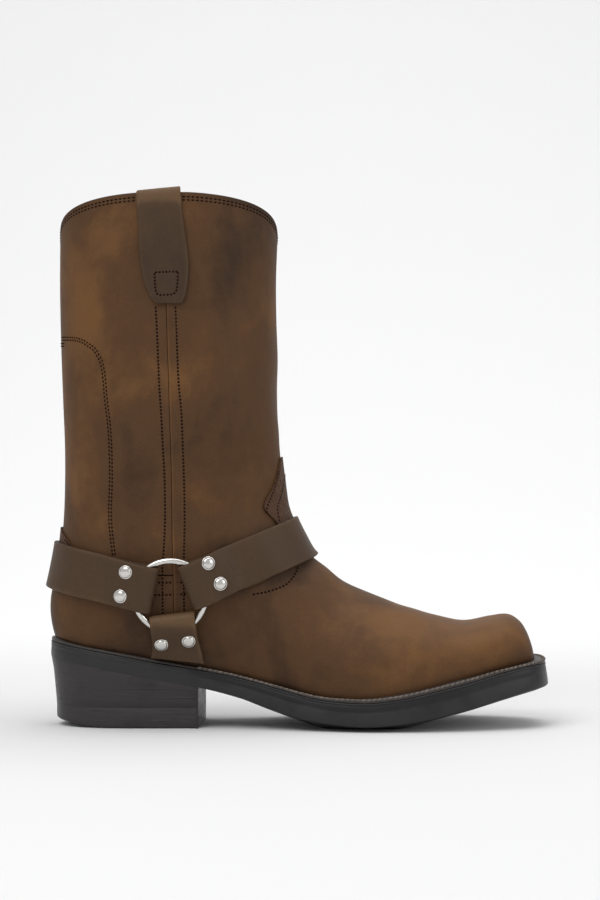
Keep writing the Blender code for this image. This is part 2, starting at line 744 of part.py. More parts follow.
def ring_point(frame, track, strap, distance, across, height):
    """A point of a strap end in its ring's plane."""
    u, w = frame.axes(track.along, track.across)
    return frame.centre + u * distance + w * (across + strap["shift"]) + frame.normal * height


def seam_height(frame, track, strap, distance, across, return_end):
    """How far off the upper the two layers meet, between the ring's plane and where they lie on the upper."""
    settle_to = return_end + SETTLE_PAST_RETURN
    base, normal = track.at(frame.side, distance, across)
    high = (ring_point(frame, track, strap, distance, across, 0.0) - base).dot(normal)
    share = min(max((distance - RIVET_ZONE[0]) / (settle_to - RIVET_ZONE[0]), 0.0), 1.0)
    share = share * share * (3 - 2 * share)
    low = STRAP_GAP + STRAP_THICK + LAYER_SPLIT
    return base, normal, high + (low - high) * share


def overlay_raise(point):
    """Extra room for the raised tab in front and the counter behind, which the straps cross."""
    share = min(max((abs(point.y) - OVERLAY_REACH) / OVERLAY_FADE, 0.0), 1.0)
    return RAISED_BY_OVERLAY * (1 - share * share * (3 - 2 * share))


def strap_width_places(half_width):
    return [half_width * (2 * j / STRAP_COLUMNS - 1) for j in range(STRAP_COLUMNS + 1)]


def strap_end(frame, track, strap, return_end, widths):
    """Stations of one folded strap end, from the end of its return layer round the ring to its top layer.

    A station is a list of (pocket-side face, other face) point pairs across the strap.
    """
    returned = [return_end] + [d for d in reversed(RIVET_ZONE) if d < return_end - 1.0]
    stations = []
    for distance in returned:
        stations.append(layer_station(frame, track, strap, distance, widths, return_end, -1))
    pocket = RING_WIRE + WIRE_GAP
    bend = strap["fold"] + STRAP_THICK + pocket
    for distance in (POCKET_FLAT_END, bend):
        stations.append(pocket_station(frame, track, strap, distance, widths, -1))
    for angle in (-45.0, 0.0, 45.0):
        turn = math.radians(angle)
        station = []
        for across in strap_width_places(widths(0.0)):
            pair = []
            for radius in (pocket, pocket + STRAP_THICK):
                distance = bend - radius * math.cos(turn)
                height = radius * math.sin(turn)
                pair.append(ring_point(frame, track, strap, distance, across, height))
            station.append(tuple(pair))
        stations.append(station)
    for distance in (bend, POCKET_FLAT_END):
        stations.append(pocket_station(frame, track, strap, distance, widths, 1))
    for distance in reversed(returned):
        stations.append(layer_station(frame, track, strap, distance, widths, return_end, 1))
    return stations


def pocket_station(frame, track, strap, distance, widths, layer):
    pocket = RING_WIRE + WIRE_GAP
    station = []
    for across in strap_width_places(widths(distance)):
        near = ring_point(frame, track, strap, distance, across, layer * pocket)
        far = ring_point(frame, track, strap, distance, across, layer * (pocket + STRAP_THICK))
        station.append((near, far))
    return station


def layer_station(frame, track, strap, distance, widths, return_end, layer):
    station = []
    for across in strap_width_places(widths(distance)):
        base, normal, height = seam_height(frame, track, strap, distance, across, return_end)
        near = base + normal * (height + layer * LAYER_SPLIT)
        far = base + normal * (height + layer * (LAYER_SPLIT + STRAP_THICK))
        station.append((near, far))
    return station


def resting_station(track, side, distance, widths, height):
    station = []
    for across in strap_width_places(widths(distance)):
        base, normal = track.at(side, distance, across)
        off = height + overlay_raise(base)
        station.append((base + normal * off, base + normal * (off + STRAP_THICK)))
    return station


def station_ring(station):
    return [pair[0] for pair in station] + [pair[1] for pair in reversed(station)]


def make_band_strap(name, tree, frames, strap, parts):
    """A harness strap folded and riveted round both rings."""
    track = BandTrack(tree, strap)

    def widths(_distance):
        return strap["half_width"]

    halves = []
    top = STRAP_GAP + STRAP_THICK + 2 * LAYER_SPLIT
    for side in (-1, 1):
        stations = strap_end(frames[side], track, strap, RETURN_END, widths)
        for distance, height in zip(SETTLE_STATIONS, (0.5 * (top + STRAP_GAP), STRAP_GAP)):
            stations.append(resting_station(track, side, distance, widths, height))
        left = track.half_length(side) - SETTLE_STATIONS[-1]
        count = math.ceil(left / STRAP_STEP)
        for k in range(1, count + (side < 0)):
            distance = SETTLE_STATIONS[-1] + left * k / count
            stations.append(resting_station(track, side, distance, widths, STRAP_GAP))
        halves.append(stations)
    stations = halves[0] + list(reversed(halves[1]))
    loft(name, [station_ring(station) for station in stations], "strap_leather", parts)
    return track


def make_lower_strap(name, tree, frame, parts):
    """The short strap from a ring down to the sole, a little wider at its foot."""
    strap = LOWER_STRAP
    track = DownTrack(tree, strap)

    def widths(distance):
        share = min(max((distance - RIVET_ZONE[0]) / (LOWER_END - RIVET_ZONE[0]), 0.0), 1.0)
        return strap["half_width"] + share * (strap["end_half_width"] - strap["half_width"])

    stations = strap_end(frame, track, strap, LOWER_RETURN_END, widths)
    stations.append(resting_station(track, frame.side, LOWER_END, widths, STRAP_GAP + LOWER_END_LIFT))
    loft(name, [station_ring(station) for station in stations], "strap_leather", parts)
    return track


def make_ring(name, frame, parts):
    turn = Vector((0, 0, 1)).rotation_difference(frame.normal)
    bpy.ops.mesh.primitive_torus_add(
        location=(frame.centre + FRAME_SHIFT) * MM,
        rotation=turn.to_euler(),
        major_segments=RING_SEGMENTS[0],
        minor_segments=RING_SEGMENTS[1],
        major_radius=RING_RADIUS * MM,
        minor_radius=RING_WIRE * MM,
    )
    ring = bpy.context.object
    ring.name = name
    ring.data.name = name
    ring.data.materials.append(material("nickel"))
    ring.data.shade_smooth()
    for collection in list(ring.users_collection):
        collection.objects.unlink(ring)
    parts.objects.link(ring)


def rivet_mesh():
    """Half profile of a domed rivet head, turned by the object's Screw modifier."""
    mesh = bpy.data.meshes.new("rivet_profile")
    points = [(radius * MM, 0.0, height * MM) for radius, height in RIVET_PROFILE]
    mesh.from_pydata(points, [(i, i + 1) for i in range(len(points) - 1)], [])
    mesh.materials.append(material("nickel"))
    return mesh


def strap_face(frame, track, strap, distance, across, return_end):
    """A point of the outer face of a strap's folded end."""
    base, normal, height = seam_height(frame, track, strap, distance, across, return_end)
    return base + normal * (height + LAYER_SPLIT + STRAP_THICK)


def rivet_seat(frame, track, strap, at, across, return_end):
    """Where a rivet head rests and which way it points, clear of the strap's curve under its rim."""
    reach = RIVET_PROFILE[3][0]
    steps = (-1.0, -0.75, -0.5, -0.25, 0.0, 0.25, 0.5, 0.75, 1.0)
    half = len(steps) // 2
    grid = []
    for i in steps:
        places = [across + j * reach for j in steps]
        grid.append([strap_face(frame, track, strap, at + i * reach, place, return_end) for place in places])
    up = (grid[-1][half] - grid[0][half]).cross(grid[half][-1] - grid[half][0]).normalized()
    up = up if up.dot(frame.normal) > 0 else -up
    middle = grid[half][half]
    highest = max((point - middle).dot(up) for row in grid for point in row)
    return middle + up * (highest + RIVET_GAP), up


def make_rivets(prefix, mesh, frame, track, strap, table, return_end, parts):
    """Two rivets side by side through the folded end of a strap."""
    for label, at, across in table:
        seat, up = rivet_seat(frame, track, strap, at, across, return_end)
        rivet = bpy.data.objects.new(f"{prefix}_{label}", mesh)
        turn = Vector((0, 0, 1)).rotation_difference(up)
        rivet.matrix_world = Matrix.Translation((seat + FRAME_SHIFT) * MM) @ turn.to_matrix().to_4x4()
        screw = rivet.modifiers.new("Turn", "SCREW")
        screw.steps = RIVET_STEPS
        screw.render_steps = RIVET_STEPS
        screw.use_merge_vertices = True
        screw.merge_threshold = 0.00001
        parts.objects.link(rivet)


def make_overlay(name, tree, table, heading, parts):
    """A raised patch over the front or back of the ankle, its half-width given by height."""
    stations = []
    for height, half_width in table:
        station = []
        reach = math.asin(half_width / ANKLE_RADIUS)
        for j in range(OVERLAY_COLUMNS + 1):
            y = ANKLE_RADIUS * math.sin(reach * (2 * j / OVERLAY_COLUMNS - 1))
            start = Vector((RING_X, y, height))
            base, normal = surface_hit(tree, start, Vector((heading, 0, 0)))
            station.append((base + normal * OVERLAY_GAP, base + normal * (OVERLAY_GAP + OVERLAY_THICK)))
        stations.append(station)
    loft(name, [station_ring(station) for station in stations], "leather", parts)


def make_pull_strap(name, tree, side, parts):
    """A loop of strap stitched outside and inside the collar, standing a little over its edge."""
    direction = Vector((0, side, 0))

    def station(level, near, far):
        height, centre, half_width = level
        found = []
        for across in strap_width_places(half_width):
            base, normal = surface_hit(tree, Vector((centre + across, 0, height)), direction)
            found.append((base + normal * near, base + normal * far))
        return found

    outside = [station(level, STRAP_GAP, STRAP_GAP + PULL_THICK) for level in PULL_STRAP]
    inner_face = -(UPPER_WALL + PULL_INNER_GAP)
    inside = [station(level, inner_face, inner_face - PULL_THICK) for level in PULL_STRAP]
    turn = []
    radius = 0.5 * (UPPER_WALL + STRAP_GAP + PULL_INNER_GAP)
    for k in range(1, PULL_TURN_STEPS):
        angle = math.pi * k / PULL_TURN_STEPS
        ring = []
        height, centre, half_width = PULL_STRAP[-1]
        for across in strap_width_places(half_width):
            base, normal = surface_hit(tree, Vector((centre + across, 0, height)), direction)
            middle = base + normal * (0.5 * (STRAP_GAP + inner_face))
            pair = []
            for reach in (radius, radius + PULL_THICK):
                lifted = Vector((0, 0, reach * math.sin(angle)))
                pair.append(middle + normal * (reach * math.cos(angle)) + lifted)
            ring.append(tuple(pair))
        turn.append(ring)
    stations = outside + turn + list(reversed(inside))
    loft(name, [station_ring(row) for row in stations], "strap_leather", parts)


def make_harness(tree, parts):
    frames = {side: RingFrame(tree, side) for side in (-1, 1)}
    rear = make_band_strap("rear_strap", tree, frames, REAR_STRAP, parts)
    front = make_band_strap("front_strap", tree, frames, FRONT_STRAP, parts)
    mesh = rivet_mesh()
    for side, label in ((-1, "outer"), (1, "inner")):
        frame = frames[side]
        lower = make_lower_strap(f"lower_strap_{label}", tree, frame, parts)
        make_ring(f"ring_{label}", frame, parts)
        for place, track, strap, table, return_end in (
            ("rear", rear, REAR_STRAP, REAR_RIVETS, RETURN_END),
            ("front", front, FRONT_STRAP, FRONT_RIVETS, RETURN_END),
            ("lower", lower, LOWER_STRAP, LOWER_RIVETS, LOWER_RETURN_END),
        ):
            make_rivets(f"rivet_{place}_{label}", mesh, frame, track, strap, table, return_end, parts)
        make_pull_strap(f"pull_strap_{label}", tree, side, parts)


def main():
    clear_scene()
    parts = bpy.data.collections.new("harness_boot")
    bpy.context.scene.collection.children.link(parts)
    make_upper(parts)
    make_insole(parts)
    make_welt(parts)
    make_outsole(parts)
    make_heel(parts)
    tree = fine_surface()
    make_overlay("vamp_tab", tree, VAMP_TAB, 1, parts)
    make_overlay("heel_counter", tree, COUNTER_PEAK, -1, parts)
    make_harness(tree, parts)


main()
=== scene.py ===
"""The look of a brown pull-on harness boot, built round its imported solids.

Sizes are in millimetres in the boot's own frame: x to the toe, y to the inner side, z up from the floor.
They become metres when a mesh is made.
"""

import json
import math

import bpy
import numpy as np
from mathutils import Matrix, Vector
from mathutils.bvhtree import BVHTree

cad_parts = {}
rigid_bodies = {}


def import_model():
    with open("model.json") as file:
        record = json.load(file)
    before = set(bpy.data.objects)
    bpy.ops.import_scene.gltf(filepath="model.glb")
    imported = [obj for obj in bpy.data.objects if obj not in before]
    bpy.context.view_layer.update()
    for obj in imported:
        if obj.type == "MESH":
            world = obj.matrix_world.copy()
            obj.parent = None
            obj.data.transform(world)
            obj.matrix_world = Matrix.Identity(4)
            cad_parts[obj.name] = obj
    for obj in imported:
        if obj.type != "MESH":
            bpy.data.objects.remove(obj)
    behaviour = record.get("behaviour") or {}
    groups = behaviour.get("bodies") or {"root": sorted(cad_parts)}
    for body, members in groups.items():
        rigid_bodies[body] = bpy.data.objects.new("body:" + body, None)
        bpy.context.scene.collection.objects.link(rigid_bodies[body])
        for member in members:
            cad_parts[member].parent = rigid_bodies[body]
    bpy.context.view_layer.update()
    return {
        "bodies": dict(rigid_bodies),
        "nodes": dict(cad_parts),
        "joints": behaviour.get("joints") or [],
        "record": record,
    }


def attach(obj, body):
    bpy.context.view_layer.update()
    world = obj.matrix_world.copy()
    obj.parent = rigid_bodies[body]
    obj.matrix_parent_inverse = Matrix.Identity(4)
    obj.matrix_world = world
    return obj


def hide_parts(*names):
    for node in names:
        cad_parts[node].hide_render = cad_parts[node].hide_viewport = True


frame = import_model()

MM = 0.001
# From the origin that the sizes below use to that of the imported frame
FRAME_SHIFT = Vector((2.375, 0.52, 0.0))

# The camera stands on the outer side, level with the boot's middle, 1570 mm from its centre plane
CAMERA_AT = Vector((0.0, -1570.0, 169.3))
CAMERA_LENS = 101.3
# A pixel of the photo in the centre plane, and the photo's middle
PIXEL = 0.62
PIXEL_CENTRE = (300.0, 450.0)

# Leather and assembly sizes
UPPER_WALL = 2.4
STRAP_THICK = 2.4
PULL_THICK = 2.2
OVERLAY_THICK = 1.2
OVERLAY_GAP = 0.35
GAP = 0.3
STRAP_GAP = 0.4
SIDE_CURVE_STEPS = 90
ROW_SPACING = 1.7
SIDE_COLUMNS = 72

# Upper sections, from the toe tip over the instep and heel to the collar: first arches down to the feather
# line, then closed rings round the shaft. Widths are half-widths, level is how far down the widest place
# is, crown and tuck are the fullness above and below it, ridge moves the top point to the inner side, and
# rise is the share of the collar's dip.
SECTION_COLUMNS = (
    "top_x", "top_z", "base_x", "base_z", "base_out", "base_in", "wide_out", "wide_in",
    "level", "crown", "tuck", "ridge", "rise",
)
SECTIONS = (
    (143.6, 46.0, 144.2, 41.3, 12.0, 14.0, 12.4, 14.4, 0.80, 2.4, 1.6, 1.0, 0.0),
    (142.2, 51.5, 142.0, 40.9, 21.0, 23.0, 21.9, 23.9, 0.75, 2.4, 1.6, 1.4, 0.0),
    (139.6, 58.3, 137.0, 39.9, 27.5, 29.8, 29.0, 31.3, 0.72, 2.4, 1.6, 1.8, 0.0),
    (135.6, 64.0, 129.0, 38.4, 33.0, 35.2, 35.0, 37.2, 0.70, 2.4, 1.6, 2.2, 0.0),
    (129.0, 67.4, 118.0, 36.2, 38.0, 39.8, 40.0, 41.8, 0.68, 2.35, 1.6, 2.5, 0.0),
    (118.5, 66.3, 108.0, 33.8, 41.5, 42.8, 43.3, 44.6, 0.68, 2.3, 1.6, 2.7, 0.0),
    (101.5, 63.5, 95.0, 31.1, 45.2, 45.2, 46.9, 46.9, 0.68, 2.25, 1.6, 3.0, 0.0),
    (82.0, 67.6, 78.0, 26.7, 48.5, 47.0, 50.1, 48.4, 0.70, 2.15, 1.6, 3.2, 0.0),
    (62.0, 73.6, 58.0, 22.6, 50.0, 47.2, 51.6, 48.6, 0.72, 2.05, 1.5, 3.2, 0.0),
    (42.0, 81.2, 36.0, 20.0, 48.8, 44.6, 50.6, 46.4, 0.74, 1.95, 1.5, 3.0, 0.0),
    (27.0, 88.0, 12.0, 21.1, 44.0, 39.8, 47.2, 43.4, 0.72, 1.9, 1.4, 2.6, 0.0),
    (16.2, 96.7, -12.0, 26.6, 37.6, 34.0, 43.8, 40.8, 0.66, 1.9, 1.3, 2.0, 0.0),
    (6.4, 104.7, -40.0, 33.3, 32.0, 29.2, 41.6, 39.4, 0.58, 1.9, 1.25, 1.4, 0.0),
    (0.4, 115.0, -72.0, 39.5, 31.4, 29.2, 41.0, 39.8, 0.54, 1.9, 1.25, 0.8, 0.0),
    (-5.0, 126.0, -106.0, 45.8, 31.6, 30.6, 41.6, 41.0, 0.50, 1.95, 1.3, 0.4, 0.0),
    (-8.2, 134.5, -131.0, 50.1, 27.4, 27.0, 42.2, 41.9, 0.50, 2.0, 1.5, 0.2, 0.0),
    (-9.3, 141.0, -145.0, 53.3, 18.2, 18.0, 42.7, 42.5, 0.50, 2.0, 1.8, 0.0, 0.0),
    (-9.7, 144.6, -149.9, 54.6, 10.6, 10.5, 42.9, 42.7, 0.50, 2.0, 1.9, 0.0, 0.0),
    (-10.1, 148.0, -151.9, 55.2, 0.0, 0.0, 43.2, 43.0, 0.50, 2.0, 2.0, 0.0, 0.0),
    (-10.9, 155.0, -154.2, 66.0, 0.0, 0.0, 43.9, 43.8, 0.50, 2.0, 2.05, 0.0, 0.0),
    (-11.8, 163.0, -154.2, 78.5, 0.0, 0.0, 44.8, 44.8, 0.50, 2.0, 2.1, 0.0, 0.0),
    (-12.7, 171.5, -150.6, 96.0, 0.0, 0.0, 46.0, 46.0, 0.50, 2.0, 2.1, 0.0, 0.0),
    (-13.4, 181.0, -147.3, 115.0, 0.0, 0.0, 47.4, 47.4, 0.50, 2.05, 2.1, 0.0, 0.0),
    (-14.0, 193.0, -145.7, 138.0, 0.0, 0.0, 49.2, 49.2, 0.50, 2.1, 2.15, 0.0, 0.05),
    (-14.2, 208.0, -145.4, 167.0, 0.0, 0.0, 50.9, 50.9, 0.50, 2.1, 2.15, 0.0, 0.15),
    (-13.8, 226.0, -146.6, 199.0, 0.0, 0.0, 52.0, 52.0, 0.50, 2.1, 2.15, 0.0, 0.3),
    (-14.6, 250.0, -147.8, 232.0, 0.0, 0.0, 52.6, 52.6, 0.50, 2.1, 2.15, 0.0, 0.5),
    (-14.8, 275.0, -148.5, 266.0, 0.0, 0.0, 52.9, 52.9, 0.50, 2.1, 2.15, 0.0, 0.8),
    (-13.8, 301.5, -148.3, 300.5, 0.0, 0.0, 53.0, 53.0, 0.50, 2.1, 2.15, 0.0, 1.0),
)
TOE_POLE = (144.6, 1.0, 41.0)
TOE_BULGE = 0.5
COLLAR_RISE = 22.5
COLLAR_RISE_WIDTH = 52.0
COLLAR_RISE_POWER = 0.65
COLLAR_RISE_SOFTNESS = 0.05
LASTING_INSET = 0.8
HEEL_EASE_REACH = 24
HEEL_EASE_PASSES = 80
HEEL_EASE_EDGE = 0.16
COLLAR_LEVEL = 300.5
# The collar's cut edge: distance out from the upper's face, and height
COLLAR_PROFILE = (
    (0.0, 0.0), (-0.1, 0.22), (-0.5, 0.42), (-1.2, 0.48), (-1.9, 0.42), (-2.3, 0.22), (-2.4, 0.0),
)

# Sole edge by length: top and under are the edge of its side, floor is the underside's flat middle, and
# ledge is how far the edge stands out from the feather line
SOLE_COLUMNS = ("x", "top", "under", "floor", "ledge")
SOLE = (
    (-160.0, 53.2, 43.6, 43.6, 3.0),
    (-136.0, 48.9, 39.1, 39.1, 3.0),
    (-115.0, 45.3, 35.2, 35.2, 3.0),
    (-92.0, 41.0, 30.9, 30.9, 3.0),
    (-62.0, 35.9, 25.3, 25.3, 3.2),
    (-38.0, 31.2, 19.4, 18.0, 3.8),
    (-18.0, 26.2, 13.0, 10.6, 4.4),
    (0.0, 21.5, 7.6, 4.6, 4.8),
    (18.0, 18.2, 4.9, 0.0, 5.0),
    (38.0, 17.2, 3.2, 0.0, 5.0),
    (58.0, 19.2, 4.7, 0.0, 5.0),
    (83.0, 24.6, 9.0, 5.6, 5.0),
    (102.0, 29.1, 13.3, 10.3, 5.1),
    (126.0, 35.4, 19.9, 17.2, 5.8),
    (143.0, 38.5, 23.8, 21.4, 7.0),
    (156.0, 39.0, 25.6, 23.4, 7.4),
)
FLAT_SHARE = 0.6
FLAT_LENGTH_SHARE = 0.97
FOOT_MIDDLE_X = 2.0
# The outsole's side: distance out from the ledge, share from its top to its underside, and extra height
OUTSOLE_PROFILE = (
    (-5.8, 0.0, 0.0), (-1.3, 0.0, 0.0), (-0.4, 0.0, -0.12), (0.0, 0.0, -0.6), (0.0, 0.0, -1.2),
    (-0.3, 0.0, -1.5), (-0.1, 0.0, -2.0), (-0.1, 0.33, 0.0), (-0.25, 0.37, 0.0), (-0.1, 0.43, 0.0),
    (0.0, 0.7, 0.0), (-0.15, 1.0, 0.9), (-0.3, 1.0, 0.45), (-0.8, 1.0, 0.0),
)
SIDE_FLARE = 1.6
FLARE_LENGTH = 60.0
WELT_EDGE = 1.7
WELT_EDGE_SHARE = 0.75
WELT_SETBACK = 0.5
WELT_GAP = 0.35
ROPE_INSET = 1.1

# Heel: its breast, the slope of the seat, and the roll of the lift at the back
BREAST_X = -62.0
BREAST_SKEW = 0.04
BREAST_CORNER = ((0.0, 1.4), (0.4, 0.4))
SEAT_SLOPE = 0.187
LIFT_TOP = 12.4
HEEL_CENTRE_X = -104.0
HEEL_INSET = 0.6
HEEL_TAPER = 3.6
ROLL_START_X = -116.0
ROLL_END_X = -150.0
ROLL_HEIGHT = 4.6
ROLL_POWER = 1.5
BREAST_DRAW = 0.0175
HEEL_TONE = 0.35

# Harness: the ring's centre in side view, and each strap end there
RING_X = -78.1
RING_Z = 82.2
RING_RADIUS = 21.45
RING_WIRE = 1.95
WIRE_GAP = 0.4
RING_PLANE_RADII = (12.0, 20.0, 28.0)
RING_PLANE_STEPS = 16
TRACK_STEPS = 241
REAR_STRAP = {"heading": -1, "tilt": 12.0, "fold": 9.2, "shift": 1.1, "half_width": 14.2}
FRONT_STRAP = {"heading": 1, "tilt": 21.5, "fold": 9.7, "shift": 0.8, "half_width": 14.1}
LOWER_STRAP = {"tilt": -83.0, "fold": 10.4, "shift": -0.5, "half_width": 13.7, "end_half_width": 15.8}
POCKET_FLAT_END = 22.6
RIVET_ZONE_START = 27.4
CLOSING_BEFORE = 3.0
CLOSING_PAST = 1.0
SETTLE_BEFORE_RIVETS = 6.0
REAR_RIVETS = (("a", 29.4, -7.2), ("b", 28.6, 7.8))
FRONT_RIVETS = (("a", 30.6, -5.1), ("b", 28.6, 9.3))
LOWER_RIVETS = (("a", 28.4, -8.4), ("b", 28.4, 8.2))
RIVET_REACH = 4.0
RIVET_LIFT = 0.15
RETURN_END = 36.5
SETTLE_PAST_RETURN = 3.0
LAYER_SPLIT = 0.12
RAISED_BY_OVERLAY = 1.85
LOWER_RETURN_END = 32.6
LOWER_END = 37.6
# Where the lower strap lies past its fold: distance, slant of the cut end, and height over the upper
LOWER_REST = ((34.5, 0.0, 2.4), (36.6, 0.12, 1.7), (38.8, 0.24, 1.2))
BAND_START = 38.0
BAND_SPACING = 3.0
BAND_LIFT_END = 37.0
BAND_SETTLED = 46.5
FOLD_CLEAR = 1.2
FLAT_SPACING = 1.6
FOLD_TURN_STEP = 18
STRAP_EASE_PASSES = 4
STRAP_COLUMNS = 10
RING_STEPS = 96
WIRE_STEPS = 20
OVERLAY_COLUMNS = 20
ANKLE_RADIUS = 44.0
OVERLAY_REACH = 31.0
OVERLAY_FADE = 9.0

# Pull strap stations: height, place along the boot and half-width
PULL_STRAP = (
    (257.3, -78.8, 8.0),
    (258.2, -78.9, 9.0),
    (260.0, -79.1, 9.9),
    (268.0, -80.2, 12.6),
    (281.0, -81.2, 14.4),
    (296.0, -82.6, 13.9),
    (310.0, -83.8, 13.4),
    (322.6, -84.8, 13.1),
)
PULL_INNER_GAP = 0.85
PULL_SLANT = 0.1
PULL_TURN_STEPS = 12
# Tone all over, tone added upwards as a painted highlight where the strap folds over the collar or round its
# ring, and the levels between which it grows
PULL_TONE_AND_FOLD_HIGHLIGHT = (-0.7, 1.8, 312.6, 322.6)
LOWER_TONE_AND_FOLD_HIGHLIGHT = (0.2, 1.1, 60.0, 67.0)


def column(table, names, name):
    return np.array([row[names.index(name)] for row in table], dtype=float)


def smooth_lookup(xs, values, x):
    """Monotone cubic reading of a table, so flat stretches stay flat."""
    x = min(max(x, xs[0]), xs[-1])
    slopes = np.diff(values) / np.diff(xs)
    tangents = np.zeros(len(xs))
    tangents[0] = slopes[0]
    tangents[-1] = slopes[-1]
    for i in range(1, len(xs) - 1):
        if slopes[i - 1] * slopes[i] > 0:
            tangents[i] = 2 * slopes[i - 1] * slopes[i] / (slopes[i - 1] + slopes[i])
    i = min(int(np.searchsorted(xs, x, side="right")) - 1, len(xs) - 2)
    span = xs[i + 1] - xs[i]
    t = (x - xs[i]) / span
    return (
        (1 + 2 * t) * (1 - t) ** 2 * values[i]
        + t * (1 - t) ** 2 * span * tangents[i]
        + t * t * (3 - 2 * t) * values[i + 1]
        + t * t * (t - 1) * span * tangents[i + 1]
    )


def sole_at(name, x):
    return smooth_lookup(column(SOLE, SOLE_COLUMNS, "x"), column(SOLE, SOLE_COLUMNS, name), x)


def catmull_rom(a, b, c, d, t):
    return 0.5 * (
        2 * b + (c - a) * t + (2 * a - 5 * b + 4 * c - d) * t * t + (3 * b - a - 3 * c + d) * t**3
    )


def sections():
    """The section rows with smooth rows between them, about ROW_SPACING apart where they spread most."""
    table = np.array(SECTIONS, dtype=float)
    rows = []
    last = len(table) - 1
    for i in range(last):
        before = table[max(i - 1, 0)]
        after = table[min(i + 2, last)]
        step = table[i + 1] - table[i]
        far = max(math.hypot(step[0], step[1]), math.hypot(step[2], step[3]))
        cuts = max(2, math.ceil(far / ROW_SPACING))
        for k in range(cuts):
            rows.append(catmull_rom(before, table[i], table[i + 1], after, k / cuts))
    rows.append(table[last])
    found = [dict(zip(SECTION_COLUMNS, row)) for row in rows]
    for row in found:
        row["base_out"] = max(row["base_out"], 0.0)
        row["base_in"] = max(row["base_in"], 0.0)
    return found


def collar_rise(y):
    """How much higher the collar is at this distance from the centre plane."""
    share = np.minimum(np.abs(y) / COLLAR_RISE_WIDTH, 1.0)
    soft = np.hypot(share, COLLAR_RISE_SOFTNESS) - COLLAR_RISE_SOFTNESS
    soft = soft / (math.hypot(1.0, COLLAR_RISE_SOFTNESS) - COLLAR_RISE_SOFTNESS)
    return COLLAR_RISE * soft**COLLAR_RISE_POWER


def side_curve(row, base, wide, count):
    """Depths and widths from the ridge to the base, evenly spaced along one side of a section."""
    angle = np.linspace(0.0, 0.5 * math.pi, SIDE_CURVE_STEPS + 1)
    cosine = np.clip(np.cos(angle), 0.0, 1.0)
    sine = np.sin(angle)
    depth = row["level"] * (1 - cosine ** (2 / row["crown"]))
    width = wide * sine ** (2 / row["crown"])
    low_depth = row["level"] + (1 - row["level"]) * sine[1:] ** (2 / row["tuck"])
    low_width = base + (wide - base) * cosine[1:] ** (2 / row["tuck"])
    depth = np.concatenate([depth, low_depth])
    width = np.concatenate([width, low_width])
    length = math.hypot(row["top_x"] - row["base_x"], row["top_z"] - row["base_z"])
    along = np.concatenate([[0.0], np.cumsum(np.hypot(np.diff(depth) * length, np.diff(width)))])
    wanted = np.linspace(0.0, along[-1], count + 1)
    return np.interp(wanted, along, depth), np.interp(wanted, along, width)


def section_points(row, count=SIDE_COLUMNS):
    """One section from its outer base over the ridge to its inner base, as an array of points."""
    found = []
    for side, base, wide in ((-1, "base_out", "wide_out"), (1, "base_in", "wide_in")):
        depth, width = side_curve(row, row[base], row[wide], count)
        x = row["top_x"] + (row["base_x"] - row["top_x"]) * depth
        z = row["top_z"] + (row["base_z"] - row["top_z"]) * depth
        y = row["ridge"] * (1 - depth) + side * width
        found.append(np.stack([x, y, z + row["rise"] * collar_rise(y)], axis=1))
    outer, inner = found
    return np.concatenate([outer[::-1], inner[1:]])


def is_arch(row):
    return row["base_out"] > 0.0


def outward(a, b):
    """Plan normal of the stretch from a to b of a loop that runs along the outer side to the heel."""
    along = Vector((b.x - a.x, b.y - a.y, 0.0)).normalized()
    return Vector((-along.y, along.x, 0.0))


def grown(loop, distance, limit=0.7):
    """The loop moved outwards in plan by distance, a number or a function of x."""
    moved = []
    for i, point in enumerate(loop):
        one = outward(loop[i - 1], point)
        two = outward(point, loop[(i + 1) % len(loop)])
        normal = (one + two).normalized()
        reach = distance(point.x) if callable(distance) else distance
        moved.append(point + normal * (reach / max(normal.dot(one), limit)))
    return moved


def as_loop(pairs):
    """Pairs that meet at the heel as one row: the outer side to the heel, then the inner side back."""
    return [outer for outer, _ in pairs] + [inner for _, inner in reversed(pairs[:-1])]


def skirt_level(x):
    return sole_at("top", x) + GAP


def with_z(point, z):
    return Vector((point.x, point.y, z))


def seat_level(x):
    return sole_at("under", BREAST_X) + SEAT_SLOPE * (BREAST_X - x)


def under_level(name, x):
    return seat_level(x) if x <= BREAST_X else sole_at(name, x)


# Meshes


def as_array(points):
    return np.array([tuple(p) for p in points], dtype=float)


def circle(steps):
    """Cosine and sine at even steps round a circle."""
    return [(math.cos(2 * math.pi * k / steps), math.sin(2 * math.pi * k / steps)) for k in range(steps)]


def link(name, data):
    """A new object for these data, in the scene."""
    found = bpy.data.objects.new(name, data)
    bpy.context.scene.collection.objects.link(found)
    return found


def mesh_piece(name, points, faces, finish, replaces=(), sharp=35.0):
    """A piece of the boot from points in millimetres."""
    mesh = bpy.data.meshes.new(name)
    coordinates = (as_array(points) + np.array(FRAME_SHIFT)) * MM
    mesh.from_pydata(coordinates.tolist(), [], faces)
    mesh.validate()
    mesh.shade_smooth()
    mesh.set_sharp_from_angle(angle=math.radians(sharp))
    mesh.materials.append(finish)
    piece = link(name, mesh)
    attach(piece, "root")
    if replaces:
        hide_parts(*replaces)
    return piece


def ring_faces(count, size, closed=False, caps=False):
    """Faces between count rings of size points, with the last ring joined to the first or with end caps."""
    faces = []
    for i in range(count if closed else count - 1):
        here = i * size
        there = (i + 1) % count * size
        for j in range(size):
            k = (j + 1) % size
            faces.append((here + j, here + k, there + k, there + j))
    if caps:
        faces.append(tuple(range(size - 1, -1, -1)))
        faces.append(tuple(range((count - 1) * size, count * size)))
    return faces


def sheet_faces(count, size, start=0):
    """Faces between count open rows of size points."""
    corners = [start + i * size + j for i in range(count - 1) for j in range(size - 1)]
    return [(a, a + 1, a + size + 1, a + size) for a in corners]


